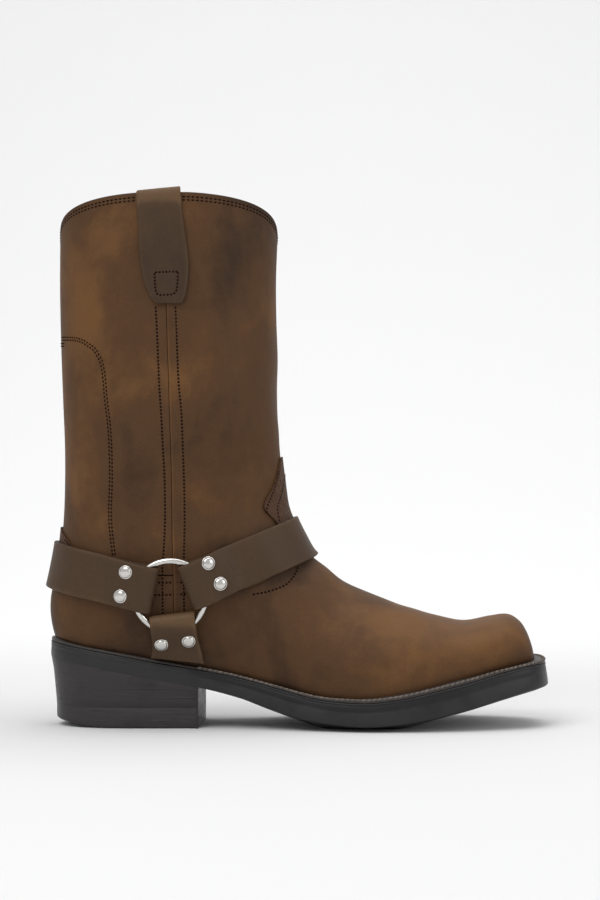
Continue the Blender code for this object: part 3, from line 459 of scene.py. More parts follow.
def loft(name, rings, finish, replaces=(), closed=False, sharp=35.0):
    """A closed piece through rings of points."""
    points = [point for ring in rings for point in ring]
    faces = ring_faces(len(rings), len(rings[0]), closed, not closed)
    piece = mesh_piece(name, points, faces, finish, replaces, sharp)
    turn_outwards(piece)
    return piece


def turn_outwards(piece):
    """Turn all faces over if the closed mesh encloses a negative volume."""
    mesh = piece.data
    mesh.calc_loop_triangles()
    points = np.array([v.co for v in mesh.vertices])
    triangles = np.array([t.vertices for t in mesh.loop_triangles])
    a, b, c = (points[triangles[:, k]] for k in range(3))
    if np.einsum("ij,ij->", a, np.cross(b, c)) < 0:
        mesh.flip_normals()


def unit(v):
    return v / np.maximum(np.linalg.norm(v, axis=-1, keepdims=True), 1e-9)


def grid_normals(grid):
    """Outward normals of a grid whose rows run from the outer base over the top to the inner base."""
    down = np.gradient(grid, axis=1)
    along = np.gradient(grid, axis=0)
    return unit(np.cross(down, along))


# Materials


class Finish:
    """A Principled material with a few helpers for procedural colour and relief."""

    def __init__(self, name, roughness, metallic=0.0, specular=0.4):
        self.material = bpy.data.materials.new(name)
        self.material.use_nodes = True
        self.nodes = self.material.node_tree.nodes
        self.links = self.material.node_tree.links
        self.shade("Roughness", roughness)
        self.shade("Metallic", metallic)
        self.shade("Specular IOR Level", specular)
        self.place = self.node("TexCoord", "Object", {})

    def feed(self, value, socket):
        if isinstance(value, (int, float, tuple)):
            socket.default_value = value
        else:
            self.links.new(value, socket)

    def shade(self, socket, value):
        self.feed(value, self.nodes["Principled BSDF"].inputs[socket])

    def node(self, kind, output, inputs, **settings):
        """The output of a new node that has these settings and inputs."""
        node = self.nodes.new("ShaderNode" + kind)
        for name, value in settings.items():
            setattr(node, name, value)
        for socket, value in inputs.items():
            self.feed(value, node.inputs[socket])
        return node.outputs[output]

    def noise(self, scale, detail=3.0, roughness=0.5, stretch=None, distortion=0.0):
        place = self.place
        if stretch:
            place = self.node("Mapping", "Vector", {"Vector": place, "Scale": stretch})
        inputs = {"Scale": scale, "Detail": detail, "Roughness": roughness, "Distortion": distortion}
        return self.node("TexNoise", "Fac", {"Vector": place, **inputs})

    def cells(self, scale):
        return self.node("TexVoronoi", "Distance", {"Vector": self.place, "Scale": scale})

    def tone(self):
        return self.node("Attribute", "Fac", {}, attribute_name="tone")

    def maths(self, operation, a, b=0.0, clamp=False):
        return self.node("Math", 0, {0: a, 1: b}, operation=operation, use_clamp=clamp)

    def spread(self, value, low, high, to_low=0.0, to_high=1.0):
        """The value spread softly from the range low to high over another range."""
        inputs = {"Value": value, "From Min": low, "From Max": high, "To Min": to_low, "To Max": to_high}
        return self.node("MapRange", "Result", inputs, interpolation_type="SMOOTHSTEP")

    def scaled(self, colour, factor):
        return self.node("VectorMath", 0, {0: colour, "Scale": factor}, operation="SCALE")

    def ramp(self, value, stops):
        node = self.nodes.new("ShaderNodeValToRGB")
        node.color_ramp.interpolation = "EASE"
        while len(node.color_ramp.elements) < len(stops):
            node.color_ramp.elements.new(0.5)
        for element, (position, colour) in zip(node.color_ramp.elements, stops):
            element.position = position
            element.color = (*colour, 1.0)
        self.feed(value, node.inputs["Fac"])
        return node.outputs["Color"]

    def colour(self, value):
        self.shade("Base Color", (*value, 1.0) if isinstance(value, tuple) else value)

    def relief(self, layers):
        """Bump from (height, strength, distance) layers, one over the other."""
        below = {}
        for height, strength, distance in layers:
            inputs = {"Height": height, "Strength": strength, "Distance": distance, **below}
            below = {"Normal": self.node("Bump", "Normal", inputs)}
        self.shade("Normal", below["Normal"])


def leather_finish(name, dark, middle, warm, roughness, mottle, tone_share, pebble=(620.0, 0.16, 0.0003)):
    """Oiled pull-up leather: broad soft clouds from dark to warm, a fine nap and faint grain."""
    finish = Finish(name, roughness, specular=0.16)
    broad = finish.noise(13.0, 2.0, 0.55, distortion=0.6)
    streaks = finish.noise(26.0, 3.0, 0.6, stretch=(1.0, 1.0, 0.45), distortion=0.4)
    small = finish.noise(120.0, 4.0, 0.6)
    value = finish.maths("MULTIPLY", finish.tone(), tone_share)
    for layer, share in ((broad, 1.5), (streaks, 0.9), (small, 0.35)):
        part = finish.maths("MULTIPLY", finish.maths("SUBTRACT", layer, 0.5), share * mottle)
        value = finish.maths("ADD", value, part)
    value = finish.maths("ADD", value, 0.5, clamp=True)
    nap = finish.noise(1500.0, 3.0, 0.7)
    colour = finish.ramp(value, ((0.08, dark), (0.5, middle), (0.92, warm)))
    finish.colour(finish.scaled(colour, finish.spread(nap, 0.3, 0.7, 0.88, 1.1)))
    finish.shade("Roughness", finish.spread(broad, 0.3, 0.7, roughness - 0.05, roughness + 0.07))
    wave = finish.noise(90.0, 3.0, 0.55)
    finish.relief(((wave, 0.25, 0.0009), (finish.cells(pebble[0]), *pebble[1:]), (nap, 0.2, 0.00015)))
    return finish.material


def plain_finish(name, colour, roughness, metallic=0.0, specular=0.4, relief=(), vary=0.0):
    """One colour, with flecks that vary it by a share, and relief from (scale, strength, depth) rows."""
    finish = Finish(name, roughness, metallic, specular)
    if vary:
        fleck = finish.spread(finish.noise(300.0, 3.0, 0.6), 0.3, 0.7, 1.0 - vary, 1.0 + vary)
        finish.colour(finish.scaled(colour, fleck))
    else:
        finish.colour(colour)
    if relief:
        finish.relief([(finish.noise(scale, 3.0, 0.6), *bump) for scale, *bump in relief])
    return finish.material


def rubber_finish(name, dark, dusty, streaks=False):
    """Black rubber: soft sheen, faint dust, and on the heel the fine level scratches of its lifts."""
    finish = Finish(name, 0.42, specular=0.35)
    dust = finish.noise(60.0, 4.0, 0.6)
    value = finish.maths("ADD", dust, finish.maths("MULTIPLY", finish.tone(), 0.5), clamp=True)
    finish.colour(finish.ramp(value, ((0.3, dark), (0.75, dusty))))
    finish.shade("Roughness", finish.spread(dust, 0.3, 0.7, 0.36, 0.52))
    layers = [(finish.noise(40.0, 3.0, 0.5), 0.3, 0.0012), (finish.noise(900.0, 2.0, 0.6), 0.15, 0.0002)]
    if streaks:
        level = finish.noise(1.0, 4.0, 0.75, stretch=(26.0, 26.0, 620.0))
        layers.append((finish.spread(level, 0.52, 0.7), 0.5, 0.0007))
    finish.relief(layers)
    return finish.material


LEATHER = leather_finish(
    "pull_up_leather", (0.034, 0.017, 0.008), (0.078, 0.037, 0.015), (0.138, 0.064, 0.022), 0.58, 0.8, 0.45
)
STRAP = leather_finish(
    "strap_leather", (0.040, 0.022, 0.013), (0.064, 0.037, 0.020), (0.112, 0.064, 0.032), 0.5, 0.5, 0.35
)
GRAINED = leather_finish(
    "grained_leather", (0.030, 0.015, 0.009), (0.070, 0.034, 0.018), (0.12, 0.058, 0.026), 0.6, 0.6, 0.4,
    pebble=(430.0, 0.7, 0.0009),
)
CUT_EDGE = plain_finish("cut_edge", (0.050, 0.030, 0.018), 0.7, relief=((900.0, 0.4, 0.0003),), vary=0.25)
THREAD = plain_finish(
    "thread", (0.014, 0.006, 0.004), 0.8, specular=0.05, relief=((2500.0, 0.3, 0.0002),), vary=0.3
)
# Near black, for the stitch holes and for painted shade round each stitch, in seam grooves and at the foot
# of panel edges
HOLE_AND_SHADE_DARK = plain_finish("pinhole_and_shade", (0.007, 0.003, 0.002), 0.95, specular=0.0)
ROPE = plain_finish("welt_thread", (0.125, 0.10, 0.083), 0.75, relief=((2500.0, 0.4, 0.0002),), vary=0.3)
WELT = plain_finish("welt_leather", (0.030, 0.024, 0.021), 0.5, relief=((500.0, 0.3, 0.0004),), vary=0.25)
RUBBER = rubber_finish("sole_rubber", (0.006, 0.0053, 0.0057), (0.018, 0.0166, 0.0172))
HEEL = rubber_finish("heel_rubber", (0.010, 0.0082, 0.0088), (0.030, 0.0262, 0.0272), streaks=True)
NICKEL = plain_finish("nickel", (0.66, 0.64, 0.61), 0.2, 1.0, relief=((350.0, 0.04, 0.0003),))
LINING = plain_finish("lining", (0.30, 0.20, 0.12), 0.85, relief=((700.0, 0.3, 0.0003),), vary=0.12)
INSOLE = plain_finish("insole_leather", (0.28, 0.19, 0.12), 0.8, relief=((500.0, 0.3, 0.0003),), vary=0.12)


def add_tone(piece, values):
    """A tone for each point of a mesh, which its finish reads as lighter or darker."""
    layer = piece.data.attributes.new("tone", "FLOAT", "POINT")
    layer.data.foreach_set("value", np.asarray(values, dtype=np.float32))


def lighten_above(piece, change):
    """Change the tones that a piece has: by one value all over, and by more from a low to a high level,
    which paints a highlight on the higher part.
    """
    everywhere, more, low, high = change
    for item, vertex in zip(piece.data.attributes["tone"].data, piece.data.vertices):
        item.value += more * smooth_step(vertex.co.z / MM, low, high) + everywhere


# Upper
ROWS = sections()
GRID = np.stack([section_points(row) for row in ROWS])
ARCHES = next(i for i, row in enumerate(ROWS) if not is_arch(row))


def ease_heel(grid):
    """Even out the rows round the heel, where the arches turn into closed rings, but not their ends."""
    last = grid.shape[1] - 1
    columns = np.arange(last + 1)
    inside = np.minimum(np.minimum(columns, last - columns) / (HEEL_EASE_EDGE * last), 1.0)
    near = np.maximum(1 - np.abs(np.arange(len(grid)) - ARCHES) / HEEL_EASE_REACH, 0.0)
    weight = 0.5 * near[:, None, None] * inside[None, :, None]
    grid = grid.copy()
    for _ in range(HEEL_EASE_PASSES):
        mean = grid.copy()
        mean[1:-1] = 0.5 * (grid[:-2] + grid[2:])
        grid += weight * (mean - grid)
    return grid


GRID = ease_heel(GRID)

FOLD_END_SHARE = 0.15
FOLD_END_GROWTH = 4.0
# Soft troughs (negative) and ridges of the worn-in leather: points, height, half-width, and whether the
# other side has its mirror image too
FOLDS = (
    (((-60, -52, 176), (-38, -42, 178), (-20, -24, 179), (-13, 0, 180)), 0.8, 7.0, True),
    (((-50, -50, 152), (-28, -36, 156), (-12, -14, 160), (-10, 0, 161)), -0.7, 6.0, True),
    (((-128, -40, 128), (-105, -48, 122), (-88, -49, 119)), -0.7, 8.0, True),
    (((-140, -25, 150), (-118, -46, 146), (-96, -50, 143)), 0.6, 9.0, False),
    (((-24, -38, 92), (-6, -40, 76), (10, -44, 60)), -0.6, 9.0, True),
    (((52, -44, 52), (60, -24, 72), (63, 0, 75), (60, 24, 72), (52, 42, 52)), -0.3, 7.0, False),
    (((70, -46, 46), (78, -24, 67), (81, 0, 69), (78, 24, 67), (70, 42, 46)), -0.2, 7.0, False),
    (((61, -45, 48), (69, -24, 69), (72, 0, 72), (69, 24, 69), (61, 42, 48)), 0.1, 5.0, False),
    (((-40, -52, 300), (-44, -52, 250), (-52, -52, 205), (-58, -51, 170)), 0.7, 16.0, False),
    (((-118, -50, 290), (-116, -51, 240), (-112, -50, 190)), -0.6, 15.0, False),
    (((-30, -46, 280), (-30, -46, 240), (-34, -46, 200)), -0.6, 13.0, False),
    (((-40, 52, 300), (-48, 52, 240), (-58, 51, 180)), -0.7, 16.0, False),
    (((-118, 50, 290), (-112, 51, 240), (-108, 50, 190)), 0.6, 15.0, False),
)


def spline(points, step):
    """Points about step apart on a smooth curve through the given ones."""
    points = [np.array(p, dtype=float) for p in points]
    ends = [2 * points[0] - points[1]] + points + [2 * points[-1] - points[-2]]
    found = []
    for i in range(1, len(ends) - 2):
        count = max(1, math.ceil(np.linalg.norm(ends[i + 1] - ends[i]) / step))
        for k in range(count):
            found.append(catmull_rom(ends[i - 1], ends[i], ends[i + 1], ends[i + 2], k / count))
    found.append(points[-1])
    return np.array(found)


def all_folds():
    """The folds, each with its mirror image where it has one."""
    for points, height, width, mirrored in FOLDS:
        yield points, height, width
        if mirrored:
            yield [(x, -y, z) for x, y, z in points], height, width


def fold_heights(grid):
    """How far each point of the grid is pushed out by the folds, which fade at both ends."""
    flat = grid.reshape(-1, 3)
    total = np.zeros(len(flat))
    for points, height, width in all_folds():
        line = [flat[np.argmin(np.sum((flat - p) ** 2, axis=1))] for p in spline(points, 3.0)]
        gaps = np.full(len(flat), np.inf)
        fades = np.zeros(len(flat))
        for k, point in enumerate(line):
            squared = np.sum((flat - point) ** 2, axis=1)
            closer = squared < gaps
            gaps[closer] = squared[closer]
            to_end = min(k, len(line) - 1 - k) / (len(line) - 1)
            fades[closer] = min(1.0, FOLD_END_GROWTH * to_end + FOLD_END_SHARE)
        total += height * fades * np.exp(-gaps / (width * width))
    return total.reshape(grid.shape[:2])


NORMALS = grid_normals(GRID)
for ring in range(ARCHES, len(ROWS)):
    NORMALS[ring, 0] = NORMALS[ring, -1] = unit(NORMALS[ring, 0] + NORMALS[ring, -1])
HEIGHTS = fold_heights(GRID)
HEIGHTS[:, 0] = HEIGHTS[:, -1]
SURFACE = GRID + NORMALS * HEIGHTS[..., None]


def surface_points():
    """Points and faces of the upper's outer face, with the skirt that goes down to the outsole."""
    width = SURFACE.shape[1]
    rows = len(SURFACE)
    points = [Vector(TOE_POLE)] + [Vector(p) for p in SURFACE.reshape(-1, 3)]

    def at(i, j):
        if i >= ARCHES and j == width - 1:
            j = 0
        return 1 + i * width + j

    faces = [(0, at(0, j + 1), at(0, j)) for j in range(width - 1)]
    for i in range(rows - 1):
        for j in range(width - 1):
            corners = [at(i, j), at(i, j + 1), at(i + 1, j + 1), at(i + 1, j)]
            if len(set(corners)) == 4:
                faces.append(tuple(corners))
            elif len(set(corners)) == 3:
                faces.append(tuple(dict.fromkeys(corners)))
    pairs = feather_pairs()
    moved = grown(as_loop(pairs), -LASTING_INSET, 0.5)
    start = len(points)
    pole = Vector(TOE_POLE)
    points.append(Vector((pole.x - LASTING_INSET, pole.y, skirt_level(pole.x))))
    for i, (outer, inner) in enumerate(pairs):
        points.append(with_z(moved[i], skirt_level(outer.x)))
        points.append(with_z(moved[-1 - i], skirt_level(inner.x)))
    faces.append((0, at(0, 0), start + 1, start))
    faces.append((at(0, width - 1), 0, start, start + 2))
    for i in range(ARCHES):
        low = start + 1 + 2 * i
        faces.append((at(i, 0), at(i + 1, 0), low + 2, low))
        faces.append((at(i + 1, width - 1), at(i, width - 1), low + 1, low + 3))
    return points, faces


def feather_pairs():
    return [(Vector(GRID[i, 0]), Vector(GRID[i, -1])) for i in range(ARCHES + 1)]


CLOUD_SIDE_FADE = 8.0
# Lighter and darker clouds, most of them the leather's own mottling and a few painted sheen and shade on the
# vamp and toe: a point, how far it spreads along and up, and the tone
CLOUDS_AND_PAINTED_LIGHT = (
    ((-130, -40, 285), 30, 34, 0.75),
    ((-125, -40, 235), 30, 26, 0.6),
    ((-32, -45, 290), 34, 28, -1.7),
    ((-52, -50, 262), 22, 20, -0.6),
    ((-128, -40, 165), 20, 30, 0.3),
    # Painted sheen over the top of the vamp
    ((60, -30, 66), 44, 18, 0.9),
    ((104, -20, 62), 34, 14, 1.2),
    ((-36, -46, 182), 20, 20, -0.7),
    ((-14, -20, 262), 14, 40, 0.55),
    ((-70, -52, 222), 30, 22, -0.35),
    ((-40, -48, 205), 22, 18, 0.45),
    ((-16, -30, 225), 12, 24, 0.3),
    ((-48, -48, 160), 26, 24, -0.8),
    ((-112, -48, 180), 24, 30, -0.3),
    ((-135, -35, 150), 22, 30, 0.45),
    ((-40, -46, 128), 22, 12, 0.7),
    ((-118, -45, 124), 20, 10, 0.5),
    ((-70, -50, 112), 40, 9, -0.7),
    ((-110, -46, 66), 34, 16, -0.5),
    ((-140, -30, 72), 14, 16, 0.25),
    ((0, -40, 84), 24, 14, 0.35),
    ((40, -44, 62), 30, 16, 0.3),
    ((62, -48, 36), 30, 12, 0.25),
    # Painted shade on the toe's lower front, and painted sheen on its top
    ((112, -40, 44), 30, 12, -0.45),
    ((128, -20, 66), 18, 10, 0.3),
    ((-20, -40, 50), 40, 12, -0.2),
)
WELT_DARKENING = 0.75
WELT_DARKENING_REACH = 5.0
WELT_DARKENING_TOP = 75.0
RIM_DARKENING = 0.5
RIM_DARKENING_REACH = 2.2


def cloud_and_light_tones(points):
    """The sum of the clouds, painted sheen and shade among them, at each point, softer on the side where
    each is centred than on the other.
    """
    total = np.zeros(len(points))
    for (x, y, z), along, up, tone in CLOUDS_AND_PAINTED_LIGHT:
        gap = ((points[:, 0] - x) / along) ** 2 + ((points[:, 2] - z) / up) ** 2
        other_side = 1.0 / (1.0 + np.exp(points[:, 1] * np.sign(y) / CLOUD_SIDE_FADE))
        total += tone * np.exp(-gap) * (0.35 + 0.65 * other_side)
    return total


def edge_darkening(points):
    """Darker near the collar's edge and just above the welt."""
    xs = np.linspace(-156.0, 150.0, 120)
    tops = np.array([sole_at("top", x) for x in xs])
    above = np.maximum(points[:, 2] - np.interp(points[:, 0], xs, tops), 0.0)
    low = np.where(points[:, 2] < WELT_DARKENING_TOP, np.exp(-above / WELT_DARKENING_REACH), 0.0)
    from_rim = np.abs(COLLAR_LEVEL + collar_rise(points[:, 1]) - points[:, 2])
    return -WELT_DARKENING * low - RIM_DARKENING * np.exp(-from_rim / RIM_DARKENING_REACH)


def make_upper():
    """The outer face of the upper, and a search tree of it that the other pieces are laid on."""
    points, faces = surface_points()
    piece = mesh_piece("upper_leather", points, faces, LEATHER, ("upper",), sharp=60.0)
    flat = as_array(points)
    add_tone(piece, cloud_and_light_tones(flat) + edge_darkening(flat))
    return BVHTree.FromPolygons(points, faces)


def make_collar_and_lining():
    """The cut edge along the collar, and the inner face of the upper."""
    width = SURFACE.shape[1] - 1
    top = SURFACE[-1, :width]
    up = unit(top - SURFACE[-2, :width])
    rings = [top + NORMALS[-1, :width] * out + up * lift for out, lift in COLLAR_PROFILE]
    points = [Vector(p) for ring in rings for p in ring]
    mesh_piece("collar_edge", points, ring_faces(len(rings), width), CUT_EDGE, sharp=80.0)
    inner = SURFACE - NORMALS * UPPER_WALL
    grid = inner[::2, ::2]
    if len(inner) % 2 == 0:
        grid = np.concatenate([grid, inner[-1:, ::2]])
    faces = [(a, d, c, b) for a, b, c, d in sheet_faces(*grid.shape[:2])]
    mesh_piece("lining", grid.reshape(-1, 3), faces, LINING, sharp=60.0)


TREE = make_upper()
make_collar_and_lining()


# Harness


def surface_hit(origin, direction):
    point, normal, _, _ = TREE.ray_cast(origin, direction)
    return point, -normal if normal.dot(direction) < 0 else normal


def smooth_step(value, low, high):
    t = min(max((value - low) / (high - low), 0.0), 1.0)
    return t * t * (3 - 2 * t)


class RingFrame:
    """The plane of one ring, laid over the side of the ankle."""

    def __init__(self, side):
        self.side = side
        samples = []
        for radius in RING_PLANE_RADII:
            for cosine, sine in circle(RING_PLANE_STEPS):
                start = Vector((RING_X + radius * cosine, 0, RING_Z + radius * sine))
                samples.append(surface_hit(start, Vector((0, side, 0)))[0])
        known = np.array([(1.0, p.x - RING_X, p.z - RING_Z) for p in samples])
        offset, by_x, by_z = np.linalg.lstsq(known, np.array([p.y for p in samples]), rcond=None)[0]
        self.normal = Vector((-by_x, 1.0, -by_z)).normalized() * side
        on_plane = Vector((RING_X, offset, RING_Z))
        bulge = max((p - on_plane).dot(self.normal) for p in samples)
        self.centre = on_plane + self.normal * (bulge + STRAP_GAP + STRAP_THICK + WIRE_GAP + RING_WIRE)

    def point(self, track, strap, distance, across, height):
        u = (track.along - self.normal * track.along.dot(self.normal)).normalized()
        w = track.across - self.normal * track.across.dot(self.normal)
        w = (w - u * w.dot(u)).normalized()
        return self.centre + u * distance + w * (across + strap["shift"]) + self.normal * height


class BandTrack:
    """A band laid round the ankle from ring to ring, read by distance from either ring's centre."""

    def __init__(self, strap):
        tilt = math.radians(strap["tilt"])
        self.along = Vector((strap["heading"] * math.cos(tilt), 0, math.sin(tilt)))
        self.across = Vector((-strap["heading"] * math.sin(tilt), 0, math.cos(tilt)))
        self.centre = Vector((RING_X, 0, RING_Z)) + self.across * strap["shift"]
        self.lengths = {}
        for side in (-1, 1):
            angles = np.linspace(0.5 * math.pi, 0.0, TRACK_STEPS)
            hits = [surface_hit(self.centre, self.direction(a, side))[0] for a in angles]
            self.lengths[side] = angles, np.cumsum([0.0] + [(b - a).length for a, b in zip(hits, hits[1:])])

    def direction(self, angle, side):
        return self.along * math.cos(angle) + Vector((0, side * math.sin(angle), 0))

    def at(self, side, distance, across):
        angles, lengths = self.lengths[side]
        angle = float(np.interp(distance, lengths, angles))
        return surface_hit(self.centre + self.across * across, self.direction(angle, side))


class DownTrack:
    """A strap that runs from a ring down to the sole."""

    def __init__(self, strap):
        tilt = math.radians(strap["tilt"])
        self.along = Vector((math.cos(tilt), 0, math.sin(tilt)))
        self.across = Vector((-math.sin(tilt), 0, math.cos(tilt)))
        self.centre = Vector((RING_X, 0, RING_Z)) + self.across * strap["shift"]

    def at(self, side, distance, across):
        start = self.centre + self.along * distance + self.across * across
        return surface_hit(Vector((start.x, 0, start.z)), Vector((0, side, 0)))


def places(half_width):
    return [half_width * (2 * j / STRAP_COLUMNS - 1) for j in range(STRAP_COLUMNS + 1)]


def overlay_raise(point):
    return RAISED_BY_OVERLAY * (1 - smooth_step(abs(point.y), OVERLAY_REACH, OVERLAY_REACH + OVERLAY_FADE))


def end_point(frame, track, strap, distance, across, return_end, offset):
    """A point of a folded strap end: in the ring's plane near the ring, and on the upper further out."""
    base, normal = track.at(frame.side, distance, across)
    low = base + normal * (STRAP_GAP + STRAP_THICK + LAYER_SPLIT + offset)
    high = frame.point(track, strap, distance, across, offset)
    settled = smooth_step(distance, RIVET_ZONE_START - SETTLE_BEFORE_RIVETS, return_end + SETTLE_PAST_RETURN)
    return high.lerp(low, settled)


def strap_end(frame, track, strap, return_end, widths):
    """Fine stations of one folded strap end, each a list of (pocket-side, other side) points."""
    pocket = RING_WIRE + WIRE_GAP
    bend = strap["fold"] + STRAP_THICK + pocket
    flat = list(np.arange(bend + FOLD_CLEAR, return_end, FLAT_SPACING)) + [return_end]

    def layer(distance, sign):
        closed = smooth_step(distance, POCKET_FLAT_END - CLOSING_BEFORE, RIVET_ZONE_START + CLOSING_PAST)
        gap = pocket + (LAYER_SPLIT - pocket) * closed
        return [
            (
                end_point(frame, track, strap, distance, across, return_end, sign * gap),
                end_point(frame, track, strap, distance, across, return_end, sign * (gap + STRAP_THICK)),
            )
            for across in places(widths(distance))
        ]

    stations = [layer(distance, -1) for distance in reversed(flat)]
    for angle in range(-90, 91, FOLD_TURN_STEP):
        turn = math.radians(angle)
        stations.append(
            [
                tuple(
                    frame.point(track, strap, bend - r * math.cos(turn), across, r * math.sin(turn))
                    for r in (pocket, pocket + STRAP_THICK)
                )
                for across in places(widths(0.0))
            ]
        )
    return stations + [layer(distance, 1) for distance in flat]


def resting(track, side, distance, half_width, height, slant=0.0):
    station = []
    for across in places(half_width):
        base, normal = track.at(side, distance + slant * across, across)
        off = height + overlay_raise(base)
        station.append((base + normal * off, base + normal * (off + STRAP_THICK)))
    return station


def strap_piece(name, stations, replaces, corner=0.45):
    """A strap of rounded section lofted through stations, eased along its length."""
    array = np.array([[[tuple(a), tuple(b)] for a, b in station] for station in stations])
    for _ in range(STRAP_EASE_PASSES):
        array[1:-1] = 0.5 * array[1:-1] + 0.25 * (array[:-2] + array[2:])
    rings = []
    for row in array:
        near, far = row[:, 0], row[:, 1]
        left, right = unit(near[0] - near[1]) * corner, unit(near[-1] - near[-2]) * corner
        ring = [near[0] - left, *near[1:-1], near[-1] - right]
        ring += [near[-1] * 0.8 + far[-1] * 0.2, near[-1] * 0.2 + far[-1] * 0.8]
        ring += [far[-1] - right, *far[-2:0:-1], far[0] - left]
        ring += [far[0] * 0.8 + near[0] * 0.2, far[0] * 0.2 + near[0] * 0.8]
        rings.append([Vector(p) for p in ring])
    piece = loft(name, rings, STRAP, replaces, sharp=70.0)
    count = array.shape[1]
    # Lighter on the rounded corners as a painted highlight along the strap's edges, darker on its cut sides
    edge = np.zeros(2 * count + 4)
    edge[[0, count - 1, count + 2, 2 * count + 1]] = 0.5
    edge[[count, count + 1, 2 * count + 2, 2 * count + 3]] = -0.5
    add_tone(piece, np.tile(edge, len(rings)))
    return piece


def band_strap(name, frames, strap):
    """A harness strap round the ankle, folded round the ring on both sides."""
    track = BandTrack(strap)
    halves = []
    top = STRAP_GAP + STRAP_THICK + 2 * LAYER_SPLIT
    half_width = strap["half_width"]
    for side in (-1, 1):
        stations = strap_end(frames[side], track, strap, RETURN_END, lambda d: half_width)
        rest = float(track.lengths[side][1][-1]) - BAND_START
        count = math.ceil(rest / BAND_SPACING)
        for k in range(count + (side < 0)):
            distance = BAND_START + rest * k / count
            height = top + (STRAP_GAP - top) * smooth_step(distance, BAND_LIFT_END, BAND_SETTLED)
            stations.append(resting(track, side, distance, half_width, height))
        halves.append(stations)
    strap_piece(name, halves[0] + halves[1][::-1], (name,))
    return track


def lower_strap(name, frame):
    """The short strap from a ring down to the sole, which widens to its slanted end."""
    strap = LOWER_STRAP
    track = DownTrack(strap)

    def widths(distance):
        share = min(max((distance - RIVET_ZONE_START) / (LOWER_END - RIVET_ZONE_START), 0.0), 1.0)
        return strap["half_width"] + share * (strap["end_half_width"] - strap["half_width"])

    stations = strap_end(frame, track, strap, LOWER_RETURN_END, widths)
    for distance, slant, lift in LOWER_REST:
        stations.append(resting(track, frame.side, distance, widths(distance), STRAP_GAP + lift, slant))
    piece = strap_piece(name, stations, (name,))
    lighten_above(piece, LOWER_TONE_AND_FOLD_HIGHLIGHT)
    return track


def turned(name, profile, finish, centre, up, replaces, steps=32):
    """A piece turned round the axis up through centre, from (radius, height) points between its poles."""
    side = up.orthogonal().normalized()
    front = up.cross(side)
    points = []
    for radius, height in profile:
        for cosine, sine in circle(steps):
            points.append(centre + (side * cosine + front * sine) * max(radius, 0.01) + up * height)
    piece = mesh_piece(name, points, ring_faces(len(profile), steps), finish, replaces, sharp=50.0)
    turn_outwards(piece)


# The rivet's domed head: radius and height
RIVET = (
    (0.0, -0.1), (4.05, -0.1), (4.2, 0.1), (4.1, 0.35), (3.75, 0.5), (3.55, 0.42), (3.5, 0.62), (3.45, 0.85),
    (3.1, 1.25), (2.5, 1.6), (1.8, 1.82), (1.0, 1.95), (0.0, 2.0),
)


def rivets(prefix, frame, track, strap, table, return_end):
    """The rivets of one strap end, each set square on the strap's face."""
    for label, at, across in table:

        def face(i, j):
            reach = at + i * RIVET_REACH
            return end_point(
                frame, track, strap, reach, across + j * RIVET_REACH, return_end, LAYER_SPLIT + STRAP_THICK
            )

        up = (face(1, 0) - face(-1, 0)).cross(face(0, 1) - face(0, -1)).normalized()
        up = up if up.dot(frame.normal) > 0 else -up
        name = f"{prefix}_{label}"
        turned(name + "_head", RIVET, NICKEL, face(0, 0) + up * RIVET_LIFT, up, (name,))


def ring_piece(name, frame):
    """A ring of round wire in its frame's plane."""
    side = frame.normal.orthogonal().normalized()
    front = frame.normal.cross(side)
    rings = []
    for cosine, sine in circle(RING_STEPS):
        out = side * cosine + front * sine
        ring = []
        for wide, high in circle(WIRE_STEPS):
            reach = RING_RADIUS + RING_WIRE * wide
            ring.append(frame.centre + out * reach + frame.normal * RING_WIRE * high)
        rings.append(ring)
    loft(name + "_wire", rings, NICKEL, (name,), closed=True, sharp=80.0)


def pull_strap(name, side):
    """A pull-on loop: up the outside of the shaft, over the collar and down the inside."""
    direction = Vector((0, side, 0))
    table = spline(PULL_STRAP, 3.0)

    def station(level, near, far, lift=0.0, slant=0.0):
        height, centre, half_width = level
        found = []
        for across in places(half_width):
            base, normal = surface_hit(Vector((centre + across, 0, height)), direction)
            up = Vector((0, 0, lift + slant * across))
            found.append((base + normal * near + up, base + normal * far + up))
        return found

    outside = [station(level, STRAP_GAP, STRAP_GAP + PULL_THICK) for level in table]
    inner = -(UPPER_WALL + PULL_INNER_GAP)
    inside = [station(level, inner, inner - PULL_THICK) for level in table]
    radius = 0.5 * (UPPER_WALL + STRAP_GAP + PULL_INNER_GAP)
    middle = 0.5 * (STRAP_GAP + inner)
    turn = []
    for k in range(1, PULL_TURN_STEPS):
        angle = math.pi * k / PULL_TURN_STEPS
        rows = []
        for reach in (radius, radius + PULL_THICK):
            out, lift = middle + reach * math.cos(angle), reach * math.sin(angle)
            rows.append(station(table[-1], out, 0.0, lift, PULL_SLANT * math.sin(angle)))
        turn.append([(a[0], b[0]) for a, b in zip(*rows)])
    piece = strap_piece(name, outside + turn + inside[::-1], (name,))
    lighten_above(piece, PULL_TONE_AND_FOLD_HIGHLIGHT)


def overlay(name, rows, heading, replaces):
    """A raised patch over the front or back of the ankle."""
    stations = []
    for height, half_width in spline(rows, 1.5):
        station = []
        reach = math.asin(half_width / ANKLE_RADIUS)
        for j in range(OVERLAY_COLUMNS + 1):
            y = ANKLE_RADIUS * math.sin(reach * (2 * j / OVERLAY_COLUMNS - 1))
            base, normal = surface_hit(Vector((RING_X, y, height)), Vector((heading, 0, 0)))
            station.append((base + normal * OVERLAY_GAP, base + normal * (OVERLAY_GAP + OVERLAY_THICK)))
        stations.append(station)
    rings = [[p[0] for p in s] + [p[1] for p in reversed(s)] for s in stations]
    piece = loft(name, rings, GRAINED, replaces, sharp=50.0)
    add_tone(piece, np.full(len(piece.data.vertices), -0.1))


